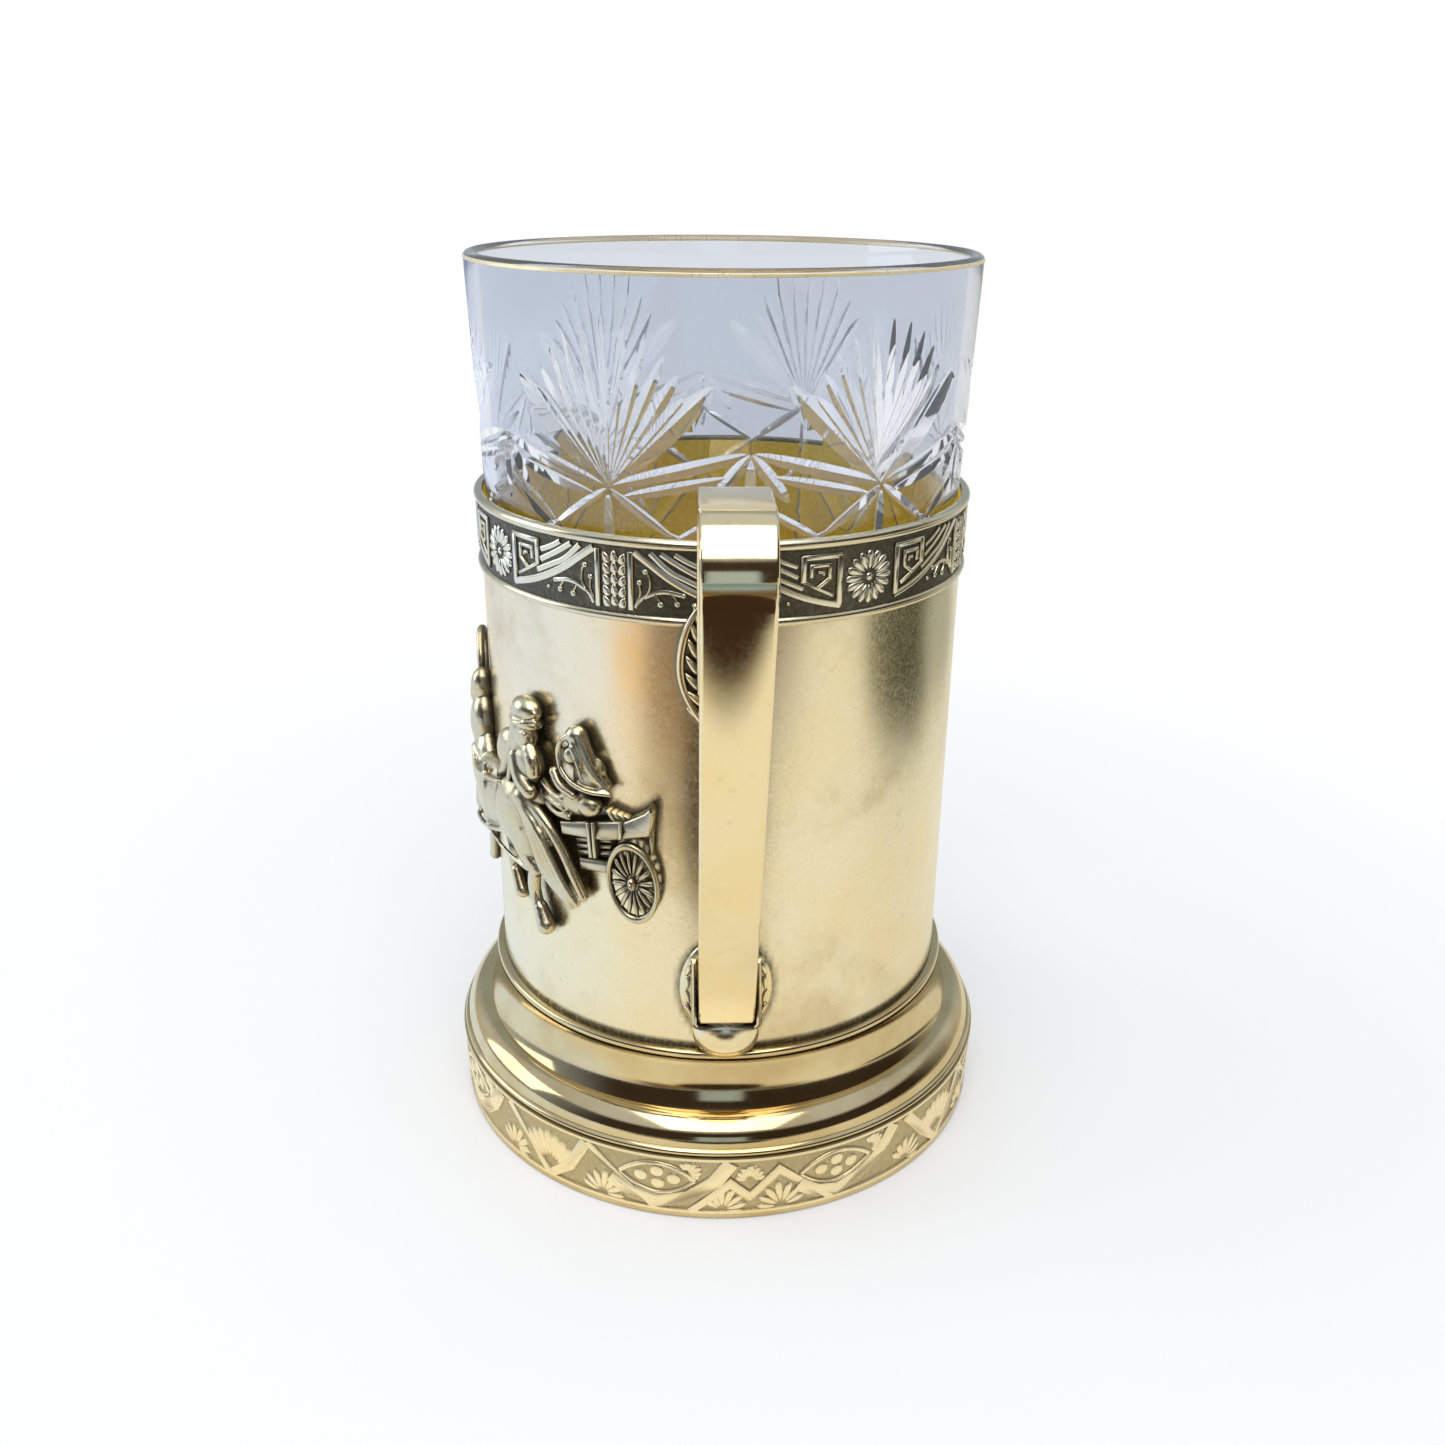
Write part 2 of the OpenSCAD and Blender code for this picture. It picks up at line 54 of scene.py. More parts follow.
# pieces are modelled in millimetres and scaled here; the finish also gives the slot
def finishPiece(name, bm, finish, node, sharpAngle=38, body="holder", second=None):
    ops.remove_doubles(bm, verts=bm.verts, dist=2e-4)
    ops.recalc_face_normals(bm, faces=bm.faces)
    ops.scale(bm, vec=Vector((mm, mm, mm)), verts=bm.verts)
    piece = toObject(name, bm)
    piece.data.shade_smooth()
    piece.data.set_sharp_from_angle(angle=radians(sharpAngle))
    for key in (finish, second) if second else (finish,):
        piece.data.materials.append(materials[key])
    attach(piece, body)
    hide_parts(node)
    print("made", name, "with", len(piece.data.polygons), "faces")
    return piece


def arcPoints(midR, midZ, radius, fromDeg, toDeg, steps):
    turns = [radians(fromDeg + (toDeg - fromDeg) * i / steps) for i in range(steps + 1)]
    return [(midR + radius * cos(t), midZ + radius * sin(t)) for t in turns]


def ovalPoints(wallR, out, low, high, steps):
    mid, half = (low + high) / 2, (high - low) / 2
    return [(wallR + out * p[0], mid + half * p[1]) for p in arcPoints(0, 0, 1, -90, 90, steps)]


# an arc from one point to another that swells to the right of the way
def swellPoints(start, end, sagitta, steps):
    way = Vector(end) - Vector(start)
    chord = way.length
    radius = chord * chord / 8 / sagitta + sagitta / 2
    side = Vector((way.y, -way.x)) / chord
    mid = (Vector(start) + Vector(end)) / 2 - side * (radius - sagitta)
    half = degrees(asin(chord / 2 / radius))
    base = degrees(atan2(side.y, side.x))
    return arcPoints(mid.x, mid.y, radius, base - half, base + half, steps)


def spinRound(bm, geom, steps):
    ops.spin(bm, geom=geom, cent=(0, 0, 0), axis=(0, 0, 1), angle=2 * pi, steps=steps, use_merge=True)


# spins an outline of (radius, height) round the cup's axis
def turned(outline, steps=192, closed=True):
    bm = bmesh.new()
    verts = [bm.verts.new((r, 0, z)) for r, z in outline]
    edges = [bm.edges.new(pair) for pair in zip(verts, verts[1:])]
    if closed:
        edges.append(bm.edges.new((verts[-1], verts[0])))
    spinRound(bm, verts + edges, steps)
    ops.remove_doubles(bm, verts=bm.verts, dist=1e-4)
    return bm


# flat work has x along the wall, z up and -y outwards; this bends it round the axis
def wrapRound(bm, radius, spread=None):
    for v in bm.verts:
        turn, out = v.co.x / (spread or radius), radius - v.co.y
        v.co = Vector((out * sin(turn), -out * cos(turn), v.co.z))


def addBm(target, source, matrix=None):
    mesh = bpy.data.meshes.new("part")
    source.to_mesh(mesh)
    if matrix:
        mesh.transform(matrix)
        if matrix.determinant() < 0:
            mesh.flip_normals()
    target.from_mesh(mesh)
    bpy.data.meshes.remove(mesh)


# a flat plate from an outline of (x, z), pushed outwards, with its outer edge rounded off
def plate(bm, outline, back, front, round=0.08):
    face = bm.faces.new([bm.verts.new((x, -back, z)) for x, z in outline])
    made = ops.extrude_face_region(bm, geom=[face])["geom"]
    outer = [g for g in made if isinstance(g, bmesh.types.BMVert)]
    ops.translate(bm, vec=(0, back - front, 0), verts=outer)
    if round:
        rims = [g for g in made if isinstance(g, bmesh.types.BMEdge)]
        ops.bevel(bm, geom=rims, offset=round, segments=1, profile=0.5, affect="EDGES", material=-1)


# a round strand through a few points (x, out, z), flattened towards the wall
def strand(bm, points, radius, taper=1, flat=1, resolution=4, sides=2):
    curve = bpy.data.curves.new("strand", "CURVE")
    curve.dimensions = "3D"
    curve.bevel_depth = radius
    curve.bevel_resolution = sides
    curve.use_fill_caps = True
    line = curve.splines.new("BEZIER")
    line.resolution_u = resolution
    line.bezier_points.add(len(points) - 1)
    for i, (knot, (x, out, z)) in enumerate(zip(line.bezier_points, points)):
        knot.co = (x, -out / flat, z)
        knot.handle_left_type = knot.handle_right_type = "AUTO"
        knot.radius = 1 + (taper - 1) * i / (len(points) - 1)
    holder = bpy.data.objects.new("strand", curve)
    scene.collection.objects.link(holder)
    mesh = holder.to_mesh()
    mesh.transform(Matrix.Diagonal((1, flat, 1, 1)))
    bm.from_mesh(mesh)
    holder.to_mesh_clear()
    bpy.data.objects.remove(holder)
    bpy.data.curves.remove(curve)


def rotate(bm, verts, angle, axis):
    ops.rotate(bm, cent=(0, 0, 0), matrix=Matrix.Rotation(angle, 3, axis), verts=verts)


# a drop or bead: a round ball pulled to size, tilted in the plane of the wall
def bead(bm, x, out, z, size, tilt=0, taper=0, level=2):
    made = ops.create_icosphere(bm, subdivisions=level, radius=1)["verts"]
    for v in made:
        v.co.x *= 1 + taper * v.co.z
    ops.scale(bm, vec=size, verts=made)
    rotate(bm, made, radians(tilt), "Y")
    ops.translate(bm, vec=(x, -out, z), verts=made)


# a bead set off from a middle and pointing away from it
def petal(bm, middle, out, turn, reach, size, taper):
    a = radians(turn)
    bead(bm, middle[0] + sin(a) * reach, out, middle[1] + cos(a) * reach, size, turn, taper)


# cuts off what lies beyond a plane and closes the cut
def cutOff(bm, place, normal):
    whole = bm.verts[:] + bm.edges[:] + bm.faces[:]
    cut = ops.bisect_plane(bm, geom=whole, plane_co=place, plane_no=normal, clear_outer=True)
    rims = [e for e in cut["geom_cut"] if isinstance(e, bmesh.types.BMEdge)]
    ops.holes_fill(bm, edges=rims, sides=0)


view = {
    "azimuth": -1.8, "distance": 204, "height": 145.5, "pitch": 22.37, "roll": 0.48, "aim": 0.107,
    "lens": 34.555, "sensor": 36, "clip": 0.01}


def makeCamera():
    camera = bpy.data.objects.new("camera", bpy.data.cameras.new("camera"))
    scene.collection.objects.link(camera)
    camera.data.lens = view["lens"]
    camera.data.sensor_width = view["sensor"]
    camera.data.clip_start = view["clip"]
    az = radians(view["azimuth"])
    place = Vector((sin(az) * view["distance"], -cos(az) * view["distance"], view["height"])) * mm
    camera.matrix_world = (Matrix.Translation(place) @ Matrix.Rotation(az, 4, "Z")
                           @ Matrix.Rotation(radians(-view["aim"]), 4, "Z")
                           @ Matrix.Rotation(radians(90 - view["pitch"]), 4, "X")
                           @ Matrix.Rotation(radians(view["roll"]), 4, "Z"))
    scene.camera = camera


# node helpers write into the tree that was opened last
def openTree(owner):
    global tree
    owner.use_nodes = True
    tree = owner.node_tree


def feed(node, key, value):
    if isinstance(value, bpy.types.NodeSocket):
        tree.links.new(value, node.inputs[key])
    else:
        node.inputs[key].default_value = value


def addNode(kind, inputs={}, **settings):
    node = tree.nodes.new("ShaderNode" + kind)
    for key, value in settings.items():
        setattr(node, key, value)
    for key, value in inputs.items():
        feed(node, key, value)
    return node


def mixColour(share, a, b):
    node = addNode("Mix", data_type="RGBA", clamp_factor=True)
    for place, value in ((0, share), (6, a), (7, b)):
        feed(node, place, (*value, 1) if isinstance(value, tuple) else value)
    return node.outputs[2]


def doMath(operation, a, b=0):
    return addNode("Math", {0: a, 1: b}, operation=operation).outputs[0]


def times(a, b):
    return doMath("MULTIPLY", a, b)


def stretch(value, low, high, to0=0, to1=1, smooth=True):
    ends = {"Value": value, "From Min": low, "From Max": high, "To Min": to0, "To Max": to1}
    kind = "SMOOTHSTEP" if smooth else "LINEAR"
    return addNode("MapRange", ends, interpolation_type=kind, clamp=True).outputs["Result"]


def doVector(operation, a, b=(0, 0, 0)):
    return addNode("VectorMath", {0: a, 1: b}, operation=operation).outputs


# a soft round patch on a plane, full inside and fading over its edge
def softDisc(place, centre, radii, edge):
    moved = doVector("SUBTRACT", place, (centre[0] * mm, centre[1] * mm, 0))[0]
    scaled = doVector("MULTIPLY", moved, (1 / radii[0] / mm, 1 / radii[1] / mm, 0))[0]
    length = doVector("LENGTH", scaled)["Value"]
    return stretch(length, 1 + edge, 1 - edge)


def newMaterial(name):
    material = bpy.data.materials.new(name)
    openTree(material)
    return material


surroundings = {
    "sky": (0.8, 0.87, 1), "horizon": (0.8, 0.78, 0.74), "skyRise": (0, 0.55), "worldLevel": 0.78,
    "coolDark": (0.42, 0.52, 0.68), "warmDark": (0.055, 0.04, 0.028), "darkTurn": (-1.6, -0.8),
    "floor": (0.86, 0.85, 0.83), "floorHalf": 6, "floorDrop": 0.05, "tableTurn": (-0.27, -0.08),
    "coolTableLight": (0.76, 0.83, 1), "warmTableLight": (0.85, 0.81, 0.68), "shadowMiddle": (0, 20),
    "shadowReach": (150, 150), "shadowEdge": 0.45, "shadowShare": 0.75}
# what only the metal mirrors of the room: from and to turn, from and to height, colour (None: the dark one)
roomPatches = {
    "frontDark": ((2.3, 1.5), (0.66, 0.5), None), "pane": ((0.2, 0.14), (0.34, 0.26), (0.55, 0.72, 0.95)),
    "behind": ((2.2, 2.6), (0.86, 0.76), (0.46, 0.54, 0.6))}
# painted reflections that only the metal mirrors: patches painted on the table stand in for shadows, window
# light and dark things in the room; middle and half sizes in mm, softness of the edge, colour
paintedTableReflections = {
    "farDark": ((0, -1610), (598, 1400), 0.059, (0.15, 0.1, 0.05)),
    "farBlue": ((0, -2000), (500, 1500), 0.1, (0.3, 0.42, 0.52)),
    "leftBrown": ((-85, -255), (82, 96), 0.25, (0.28, 0.17, 0.07)),
    "leftPale": ((-108, 0), (62, 96), 0.3, (0.8, 0.89, 1)),
    "underFoot": ((0, 0), (53, 53), 0.05, (1, 0.95, 0.82)),
    "frontDark": ((-2, -228), (62, 118), 0.08, (0.04, 0.022, 0.012)),
    "rightDark": ((310, 10), (125, 150), 0.12, (0.03, 0.035, 0.012)),
    "rightGrey": ((250, 150), (90, 85), 0.3, (0.45, 0.45, 0.38)),
    "orange": ((-186, -206), (42, 42), 0.3, (0.95, 0.47, 0))}
lamps = {
    "frontLamp": {"place": (0, -0.34, 0.82), "aim": (0, 0, 0.05), "size": (0.62, 0.85), "power": 4.2,
        "colour": (1, 0.985, 0.95)},
    "leftLamp": {"place": (-0.75, 0.1, 0.35), "aim": (0, 0, 0.06), "size": (0.5, 0.5), "power": 1.6,
        "colour": (0.86, 0.93, 1)}}


def makeWorld():
    s = surroundings
    scene.world = bpy.data.worlds.new("studio")
    openTree(scene.world)
    tree.nodes.clear()
    way = addNode("TexCoord").outputs["Generated"]
    parts = addNode("SeparateXYZ", {0: way}).outputs
    path = addNode("LightPath").outputs
    turn = doMath("ARCTAN2", parts["X"], times(parts["Y"], -1))
    aside = doMath("ABSOLUTE", turn)
    room = mixColour(stretch(parts["Z"], *s["skyRise"]), s["horizon"], s["sky"])
    dark = mixColour(stretch(turn, *s["darkTurn"]), s["coolDark"], s["warmDark"])
    for turns, heights, tint in roomPatches.values():
        share = times(stretch(aside, *turns), stretch(parts["Z"], *heights))
        room = mixColour(times(share, path["Is Glossy Ray"]), room, tint or dark)
    seen = doMath("MAXIMUM", path["Is Camera Ray"], path["Is Transmission Ray"])
    colour = mixColour(seen, room, (1, 1, 1))
    level = stretch(seen, 0, 1, s["worldLevel"], 1, smooth=False)
    back = addNode("Background", {"Color": colour, "Strength": level})
    feed(addNode("OutputWorld"), "Surface", back.outputs[0])


def makeLamp(name, place, aim, size, power, colour):
    lamp = bpy.data.lights.new(name, "AREA")
    lamp.shape = "RECTANGLE"
    lamp.size, lamp.size_y = size
    lamp.energy = power
    lamp.color = colour
    holder = bpy.data.objects.new(name, lamp)
    scene.collection.objects.link(holder)
    holder.location = place
    holder.rotation_euler = (Vector(place) - Vector(aim)).to_track_quat("Z", "Y").to_euler()
    holder.visible_camera = False


# the camera and the glass see a white floor with a soft shadow, the metal sees a table with painted cool and
# warm light, painted shadows and painted reflections
def makeFloor():
    s = surroundings
    bm = bmesh.new()
    ops.create_grid(bm, x_segments=2, y_segments=2, size=s["floorHalf"])
    floor = toObject("floor", bm)
    floor.location = (0, 0, -s["floorDrop"] * mm)
    material = newMaterial("paleFloor")
    tree.nodes.clear()
    place = addNode("TexCoord").outputs["Object"]
    path = addNode("LightPath").outputs
    side = addNode("SeparateXYZ", {0: place}).outputs["X"]
    # painted light: the mirrored table is cool on the left and warm on the right, as if lit by a window, and
    # the painted patches of shade and light go on top
    tableWithPaintedLight = mixColour(stretch(side, *s["tableTurn"]), s["coolTableLight"], s["warmTableLight"])
    for middle, radii, edge, tint in paintedTableReflections.values():
        tableWithPaintedLight = mixColour(softDisc(place, middle, radii, edge), tableWithPaintedLight, tint)
    plain = addNode("BsdfDiffuse", {"Color": mixColour(path["Is Glossy Ray"], s["floor"], tableWithPaintedLight)})
    white = addNode("Emission", {"Color": (1, 1, 1, 1), "Strength": 1})
    away = softDisc(place, s["shadowMiddle"], s["shadowReach"], s["shadowEdge"])
    keep = doMath("SUBTRACT", 1, times(away, s["shadowShare"]))
    seen = doMath("MAXIMUM", path["Is Camera Ray"], path["Is Transmission Ray"])
    both = addNode("MixShader", {0: times(keep, seen), 1: plain.outputs[0], 2: white.outputs[0]})
    feed(addNode("OutputMaterial"), "Surface", both.outputs[0])
    floor.data.materials.append(material)


makeCamera()
makeWorld()
for lampName, lampLook in lamps.items():
    makeLamp(lampName, **lampLook)
makeFloor()
scene.view_settings.view_transform = "Standard"
print("camera, world, lamps and floor ready")


def noise(place, scale, detail, roughness=0.5):
    inputs = {"Vector": place, "Scale": scale, "Detail": detail, "Roughness": roughness}
    return addNode("TexNoise", inputs).outputs["Fac"]


# gilt or silvered metal with drifting colour, fine grain, and darkening in its hollows and next to fixed
# parts that is partly tarnish and partly painted shade
def makeMetal(name, look):
    material = newMaterial(name)
    shader = tree.nodes["Principled BSDF"]
    place = addNode("TexCoord").outputs["Object"]
    parts = addNode("SeparateXYZ", {0: place}).outputs
    drift = noise(place, look["driftScale"], 4, 0.6)
    grain = noise(place, look["grainScale"], 3, 0.65)
    stain = noise(place, look["stainScale"], 6, 0.62)
    speck = noise(place, look["speckScale"], 2)
    colour = mixColour(stretch(drift, *look["driftBand"]), look["colour"], look["warm"])
    share = times(stretch(stain, *look["stainBand"]), look["stain"])
    colour = mixColour(share, colour, look["stainColour"])
    share = times(stretch(speck, *look["speckBand"]), look["speck"])
    colour = mixColour(share, colour, look["dark"])
    masks = []
    # ambient occlusion darkens the hollows: partly tarnish, partly painted shade
    if "hollow" in look:  # reach in mm, then how open a dark and a bright place are
        reach, shut, wide = look["hollow"]
        openness = addNode("AmbientOcclusion", {"Distance": reach * mm}, samples=8).outputs["AO"]
        masks.append(stretch(openness, wide, shut))
    if "ground" in look:  # dark at the first radius, bright at the second; a cone leans out with height
        flat = addNode("CombineXYZ", {"X": parts["X"], "Y": parts["Y"]}).outputs[0]
        radius = doVector("LENGTH", flat)["Value"]
        radius = doMath("SUBTRACT", radius, times(parts["Z"], look["cone"]))
        masks.append(stretch(radius, look["ground"][1] * mm, look["ground"][0] * mm))
    # painted shade: the wall darkens below the first height, in the gap where it meets the neck
    if "corner" in look:  # dark below the first height, where the wall meets the neck
        masks.append(stretch(parts["Z"], look["corner"][1] * mm, look["corner"][0] * mm))
    # tarnish and painted shade on the wall next to the relief and the mounts
    if "halo" in look:
        masks.append(addNode("Attribute", attribute_name="halo").outputs["Fac"])
    roughness = stretch(grain, *look["grainBand"], *look["roughness"], smooth=False)
    if masks:
        tarnishAndShade = masks[0]
        for mask in masks[1:]:
            tarnishAndShade = doMath("MAXIMUM", tarnishAndShade, mask)
        patchyTarnishAndShade = times(tarnishAndShade, stretch(grain, *look["wearBand"], 1 - look["wear"], 1))
        colour = mixColour(times(patchyTarnishAndShade, look["tarnishAndShade"]), colour, look["dark"])
        roughness = doMath("ADD", roughness, times(patchyTarnishAndShade, look["dull"]))
    feed(shader, "Base Color", colour)
    feed(shader, "Roughness", roughness)
    feed(shader, "Metallic", look["metallic"])
    bump = addNode("Bump", {"Strength": look["bump"], "Distance": look["bumpDepth"] * mm, "Height": grain})
    wave = addNode("Bump", {"Strength": look["wave"], "Distance": look["waveDepth"] * mm, "Height": drift,
                            "Normal": bump.outputs[0]})
    feed(shader, "Normal", wave.outputs[0])
    return material


paleGold = {
    "colour": (0.88, 0.75, 0.48), "warm": (0.9, 0.72, 0.4), "dark": (0.06, 0.05, 0.03), "driftScale": 90,
    "driftBand": (0.35, 0.68), "grainScale": 1800, "grainBand": (0.3, 0.7), "speckScale": 500,
    "speckBand": (0.62, 0.78), "speck": 0, "roughness": (0.1, 0.16), "bump": 0.05, "bumpDepth": 0.02,
    "wave": 0.02, "waveDepth": 0.35, "tarnishAndShade": 0.9, "dull": 0.3, "wear": 0.4, "wearBand": (0.2, 0.6),
    "metallic": 1, "stainScale": 34, "stainBand": (0.5, 0.72), "stain": 0.12,
    "stainColour": (0.5, 0.36, 0.16)}
finishes = {
    "satin": {"colour": (0.88, 0.78, 0.56), "warm": (0.88, 0.74, 0.46), "driftScale": 60,
        "roughness": (0.19, 0.29), "bump": 0.12, "speck": 0.1, "halo": True, "stain": 0.6,
        "corner": (25.5, 26.5), "wave": 0.05},
    "gilt": {"colour": (1, 0.66, 0.04), "warm": (1, 0.58, 0.02), "roughness": (0.22, 0.32),
        "metallic": 0.15, "stain": 0},
    "wire": {"colour": (0.74, 0.67, 0.48), "warm": (0.7, 0.6, 0.38), "roughness": (0.14, 0.24),
        "speck": 0.25, "hollow": (0.8, 0.45, 0.85)},
    "foot": {"colour": (0.72, 0.59, 0.34), "warm": (0.62, 0.47, 0.24), "roughness": (0.07, 0.13),
        "stain": 0.5, "hollow": (1.2, 0.3, 0.75), "wave": 0.04},
    "band": {"colour": (0.9, 0.79, 0.53), "warm": (0.88, 0.74, 0.46), "dark": (0.44, 0.36, 0.2),
        "ground": (42.46, 42.66), "cone": 0.0392, "tarnishAndShade": 0.8, "roughness": (0.2, 0.3), "bump": 0.08,
        "hollow": (0.9, 0.4, 0.93), "wear": 0.2},
    "strap": {"roughness": (0.06, 0.12), "speck": 0.12, "wave": 0.03, "stain": 0.22},
    "mount": {"colour": (0.8, 0.74, 0.56), "roughness": (0.14, 0.24), "hollow": (1.4, 0.35, 0.92),
        "wave": 0.15},
    "frieze": {"colour": (0.8, 0.76, 0.62), "warm": (0.76, 0.68, 0.48), "dark": (0.09, 0.08, 0.055),
        "roughness": (0.18, 0.28), "bump": 0.15, "ground": (35.87, 36.04), "cone": 0, "tarnishAndShade": 0.98,
        "wear": 0.12, "dull": 0.22},
    "line": {"colour": (0.92, 0.8, 0.52), "warm": (0.9, 0.74, 0.42), "roughness": (0.25, 0.4),
        "speck": 0.15, "metallic": 0.5},
    "relief": {"colour": (0.68, 0.61, 0.43), "warm": (0.66, 0.55, 0.34), "dark": (0.05, 0.043, 0.03),
        "roughness": (0.2, 0.3), "bump": 0.15, "hollow": (2.4, 0.48, 1), "dull": 0.2, "wear": 0.2}}
materials = {name: makeMetal(name + "Metal", {**paleGold, **look}) for name, look in finishes.items()}
print("finishes ready")

cup = {"outer": 35.6, "inner": 35.1, "low": 25, "high": 99.9, "rows": 96, "segments": 288, "giltSkin": 0.1}
# ovals are (radius, how far out, low, high, steps)
foot = {
    "bandLow": 0.9, "bandTop": 11.1, "bandTopR": 43.2, "bandLowR": 42.8, "bandWall": 0.6, "filletR": 42.3,
    "filletTop": 12.3, "step": 16, "stepR": 38.3, "stepOut": 0.7, "lowerSwell": 0.9, "upperHollow": 0.9,
    "swellSteps": 24, "neckR": 36.9, "neckLow": 23.7, "sheet": 0.8,
    "neck": [(33.1, 25), (33.1, 23.7), (36.7, 23.7)], "neckOval": (36.5, 0.4, 23.75, 24.95, 8),
    "filletOval": (42, 0.9, 11.1, 12.3, 12),
    "lip": [(42.75, 0.15), (42.8, 0.9), (38.2, 0.9), (38.2, 0), (42.55, 0)]}
collar = {
    "rimStart": [(35.1, 99.9), (35.6, 99.9), (35.6, 99.15)], "rimOval": (35.6, 0.8, 99.15, 100.65, 14),
    "rimEnd": [(35.55, 100.65), (35.2, 100.5), (35.1, 100.3)], "lowOval": (35.6, 0.7, 89.25, 90.55, 12)}


def makeCupWall():
    low, high, inner = cup["low"], cup["high"], cup["inner"]
    outer = [(cup["outer"], low + (high - low) * i / cup["rows"]) for i in range(cup["rows"] + 1)]
    bm = turned(outer + [(inner, high), (inner, low)], cup["segments"])
    wall = finishPiece("cup_wall", bm, "satin", "cup_shell", second="gilt")
    for face in wall.data.polygons:
        if hypot(face.center.x, face.center.y) < (inner + cup["giltSkin"]) * mm:
            face.material_index = 1
    return wall


def makeFoot():
    f = foot
    thin = f["sheet"]
    outR, lowR = f["bandTopR"] - f["bandWall"], f["bandLowR"] - f["bandWall"]
    stepEdge = (f["stepR"] + f["stepOut"], f["step"])
    lower = swellPoints((f["filletR"], f["filletTop"]), stepEdge, f["lowerSwell"], f["swellSteps"])
    upper = swellPoints((f["neckR"], f["neckLow"]), (f["stepR"], f["step"]), f["upperHollow"],
                        f["swellSteps"])[::-1]
    body = [(lowR, f["bandLow"]), (outR, f["bandTop"]), (f["filletR"], f["bandTop"])] + lower + upper
    body += [(cup["inner"], f["neckLow"]), (cup["inner"], f["neckLow"] - thin)]
    body += [(r - thin, z - thin / 2) for r, z in (lower + upper)[::-1]]
    body += [(outR - thin, f["bandTop"] - thin), (lowR - thin, f["bandLow"])]
    finishPiece("foot_body", turned(body, 256), "foot", "foot_shell")
    neck = f["neck"] + ovalPoints(*f["neckOval"])
    finishPiece("foot_neck", turned(neck, 256), "foot", "neck_ring")
    finishPiece("foot_fillet", turned(ovalPoints(*f["filletOval"]), 256), "foot", "foot_fillet_wire")
    finishPiece("foot_rest_lip", turned(f["lip"]), "foot", "foot_lip")


def makeCollarWires():
    rim = collar["rimStart"] + ovalPoints(*collar["rimOval"])[1:-1] + collar["rimEnd"]
    finishPiece("collar_rim_wire", turned(rim, 256), "wire", "rim_wire")
    finishPiece("collar_low_wire", turned(ovalPoints(*collar["lowOval"]), 256), "wire", "lower_wire")


cupWall = makeCupWall()
makeFoot()
makeCollarWires()
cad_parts["cup_floor"].data.materials.clear()
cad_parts["cup_floor"].data.materials.append(materials["gilt"])
print("turned parts ready")

strap = {
    "topWidth": 8.6, "endWidth": 8, "thick": 2.6, "edge": 0.5, "innerMid": (48.5, 101.2), "innerBend": 9,
    "shoulderMid": (55.6, 102.4), "shoulderBend": 7.8, "root": (35.6, 81.05), "end": (39.48, 32),
    "rootSteps": 12, "frontSteps": 30, "bendSteps": 24}


# the strap's outer line with its outward normal, from the root over the top and down to the socket
def strapLine():
    s = strap
    inner, shoulder = Vector(s["innerMid"]), Vector(s["shoulderMid"])
    root, end = Vector(s["root"]), Vector(s["end"])
    up, down = inner - root, shoulder - end
    rootLean = degrees(atan2(up.x, up.y) - asin(s["innerBend"] / up.length))
    frontLean = degrees(atan2(down.x, down.y) + asin(s["shoulderBend"] / down.length))
    line = []
    for mid, radius, start, stop in ((inner, s["innerBend"], 180 - rootLean, 90),
                                     (shoulder, s["shoulderBend"], 90, -frontLean)):
        for i in range(s["bendSteps"] + 1):
            turn = radians(start + (stop - start) * i / s["bendSteps"])
            normal = Vector((cos(turn), sin(turn)))
            line.append((mid + normal * radius, normal))
    rootNormal, endNormal = line[0][1], line[-1][1]
    before = [(root.lerp(line[0][0], i / s["rootSteps"]), rootNormal) for i in range(s["rootSteps"])]
    after = [(line[-1][0].lerp(end, (i + 1) / s["frontSteps"]), endNormal) for i in range(s["frontSteps"])]
    return before + line + after


def makeStrap():
    s = strap
    line = strapLine()
    topZ = s["innerMid"][1] + s["innerBend"]
    bm = bmesh.new()
    ring = None
    lengthwise = []
    for i, (point, normal) in enumerate(line):
        share = (point.y - s["end"][1]) / (topZ - s["end"][1])
        half = (s["endWidth"] + (s["topWidth"] - s["endWidth"]) * share) / 2
        inner = point - normal * s["thick"]
        if i == 0:  # both ends are cut level
            inner = Vector((point.x + s["thick"] / abs(normal.x), point.y))
        if i == len(line) - 1:
            inner = Vector((point.x - s["thick"] / abs(normal.x), point.y))
        corners = [(-half, -point.x, point.y), (half, -point.x, point.y), (half, -inner.x, inner.y),
                   (-half, -inner.x, inner.y)]
        new = [bm.verts.new(c) for c in corners]
        if ring:
            for a in range(4):
                bm.faces.new((ring[a], ring[(a + 1) % 4], new[(a + 1) % 4], new[a]))
                lengthwise.append((ring[a], new[a]))
        else:
            bm.faces.new(new)
        ring = new
    bm.faces.new(ring)
    ops.recalc_face_normals(bm, faces=bm.faces)
    rims = [bm.edges.get(pair) for pair in lengthwise]
    ops.bevel(bm, geom=rims, offset=s["edge"], segments=4, profile=0.5, affect="EDGES", material=-1)
    cutBehind(bm, cup["outer"])
    finishPiece("handle_strap_bar", bm, "strap", "handle_strap", 15)


# keeps a piece's back out of the cup wall by moving what lies inside it onto the wall
def cutBehind(bm, radius):
    for v in bm.verts:
        reach = hypot(v.co.x, v.co.y)
        if reach < radius:
            v.co.y = -sqrt(radius * radius - v.co.x * v.co.x)


makeStrap()
print("strap ready")

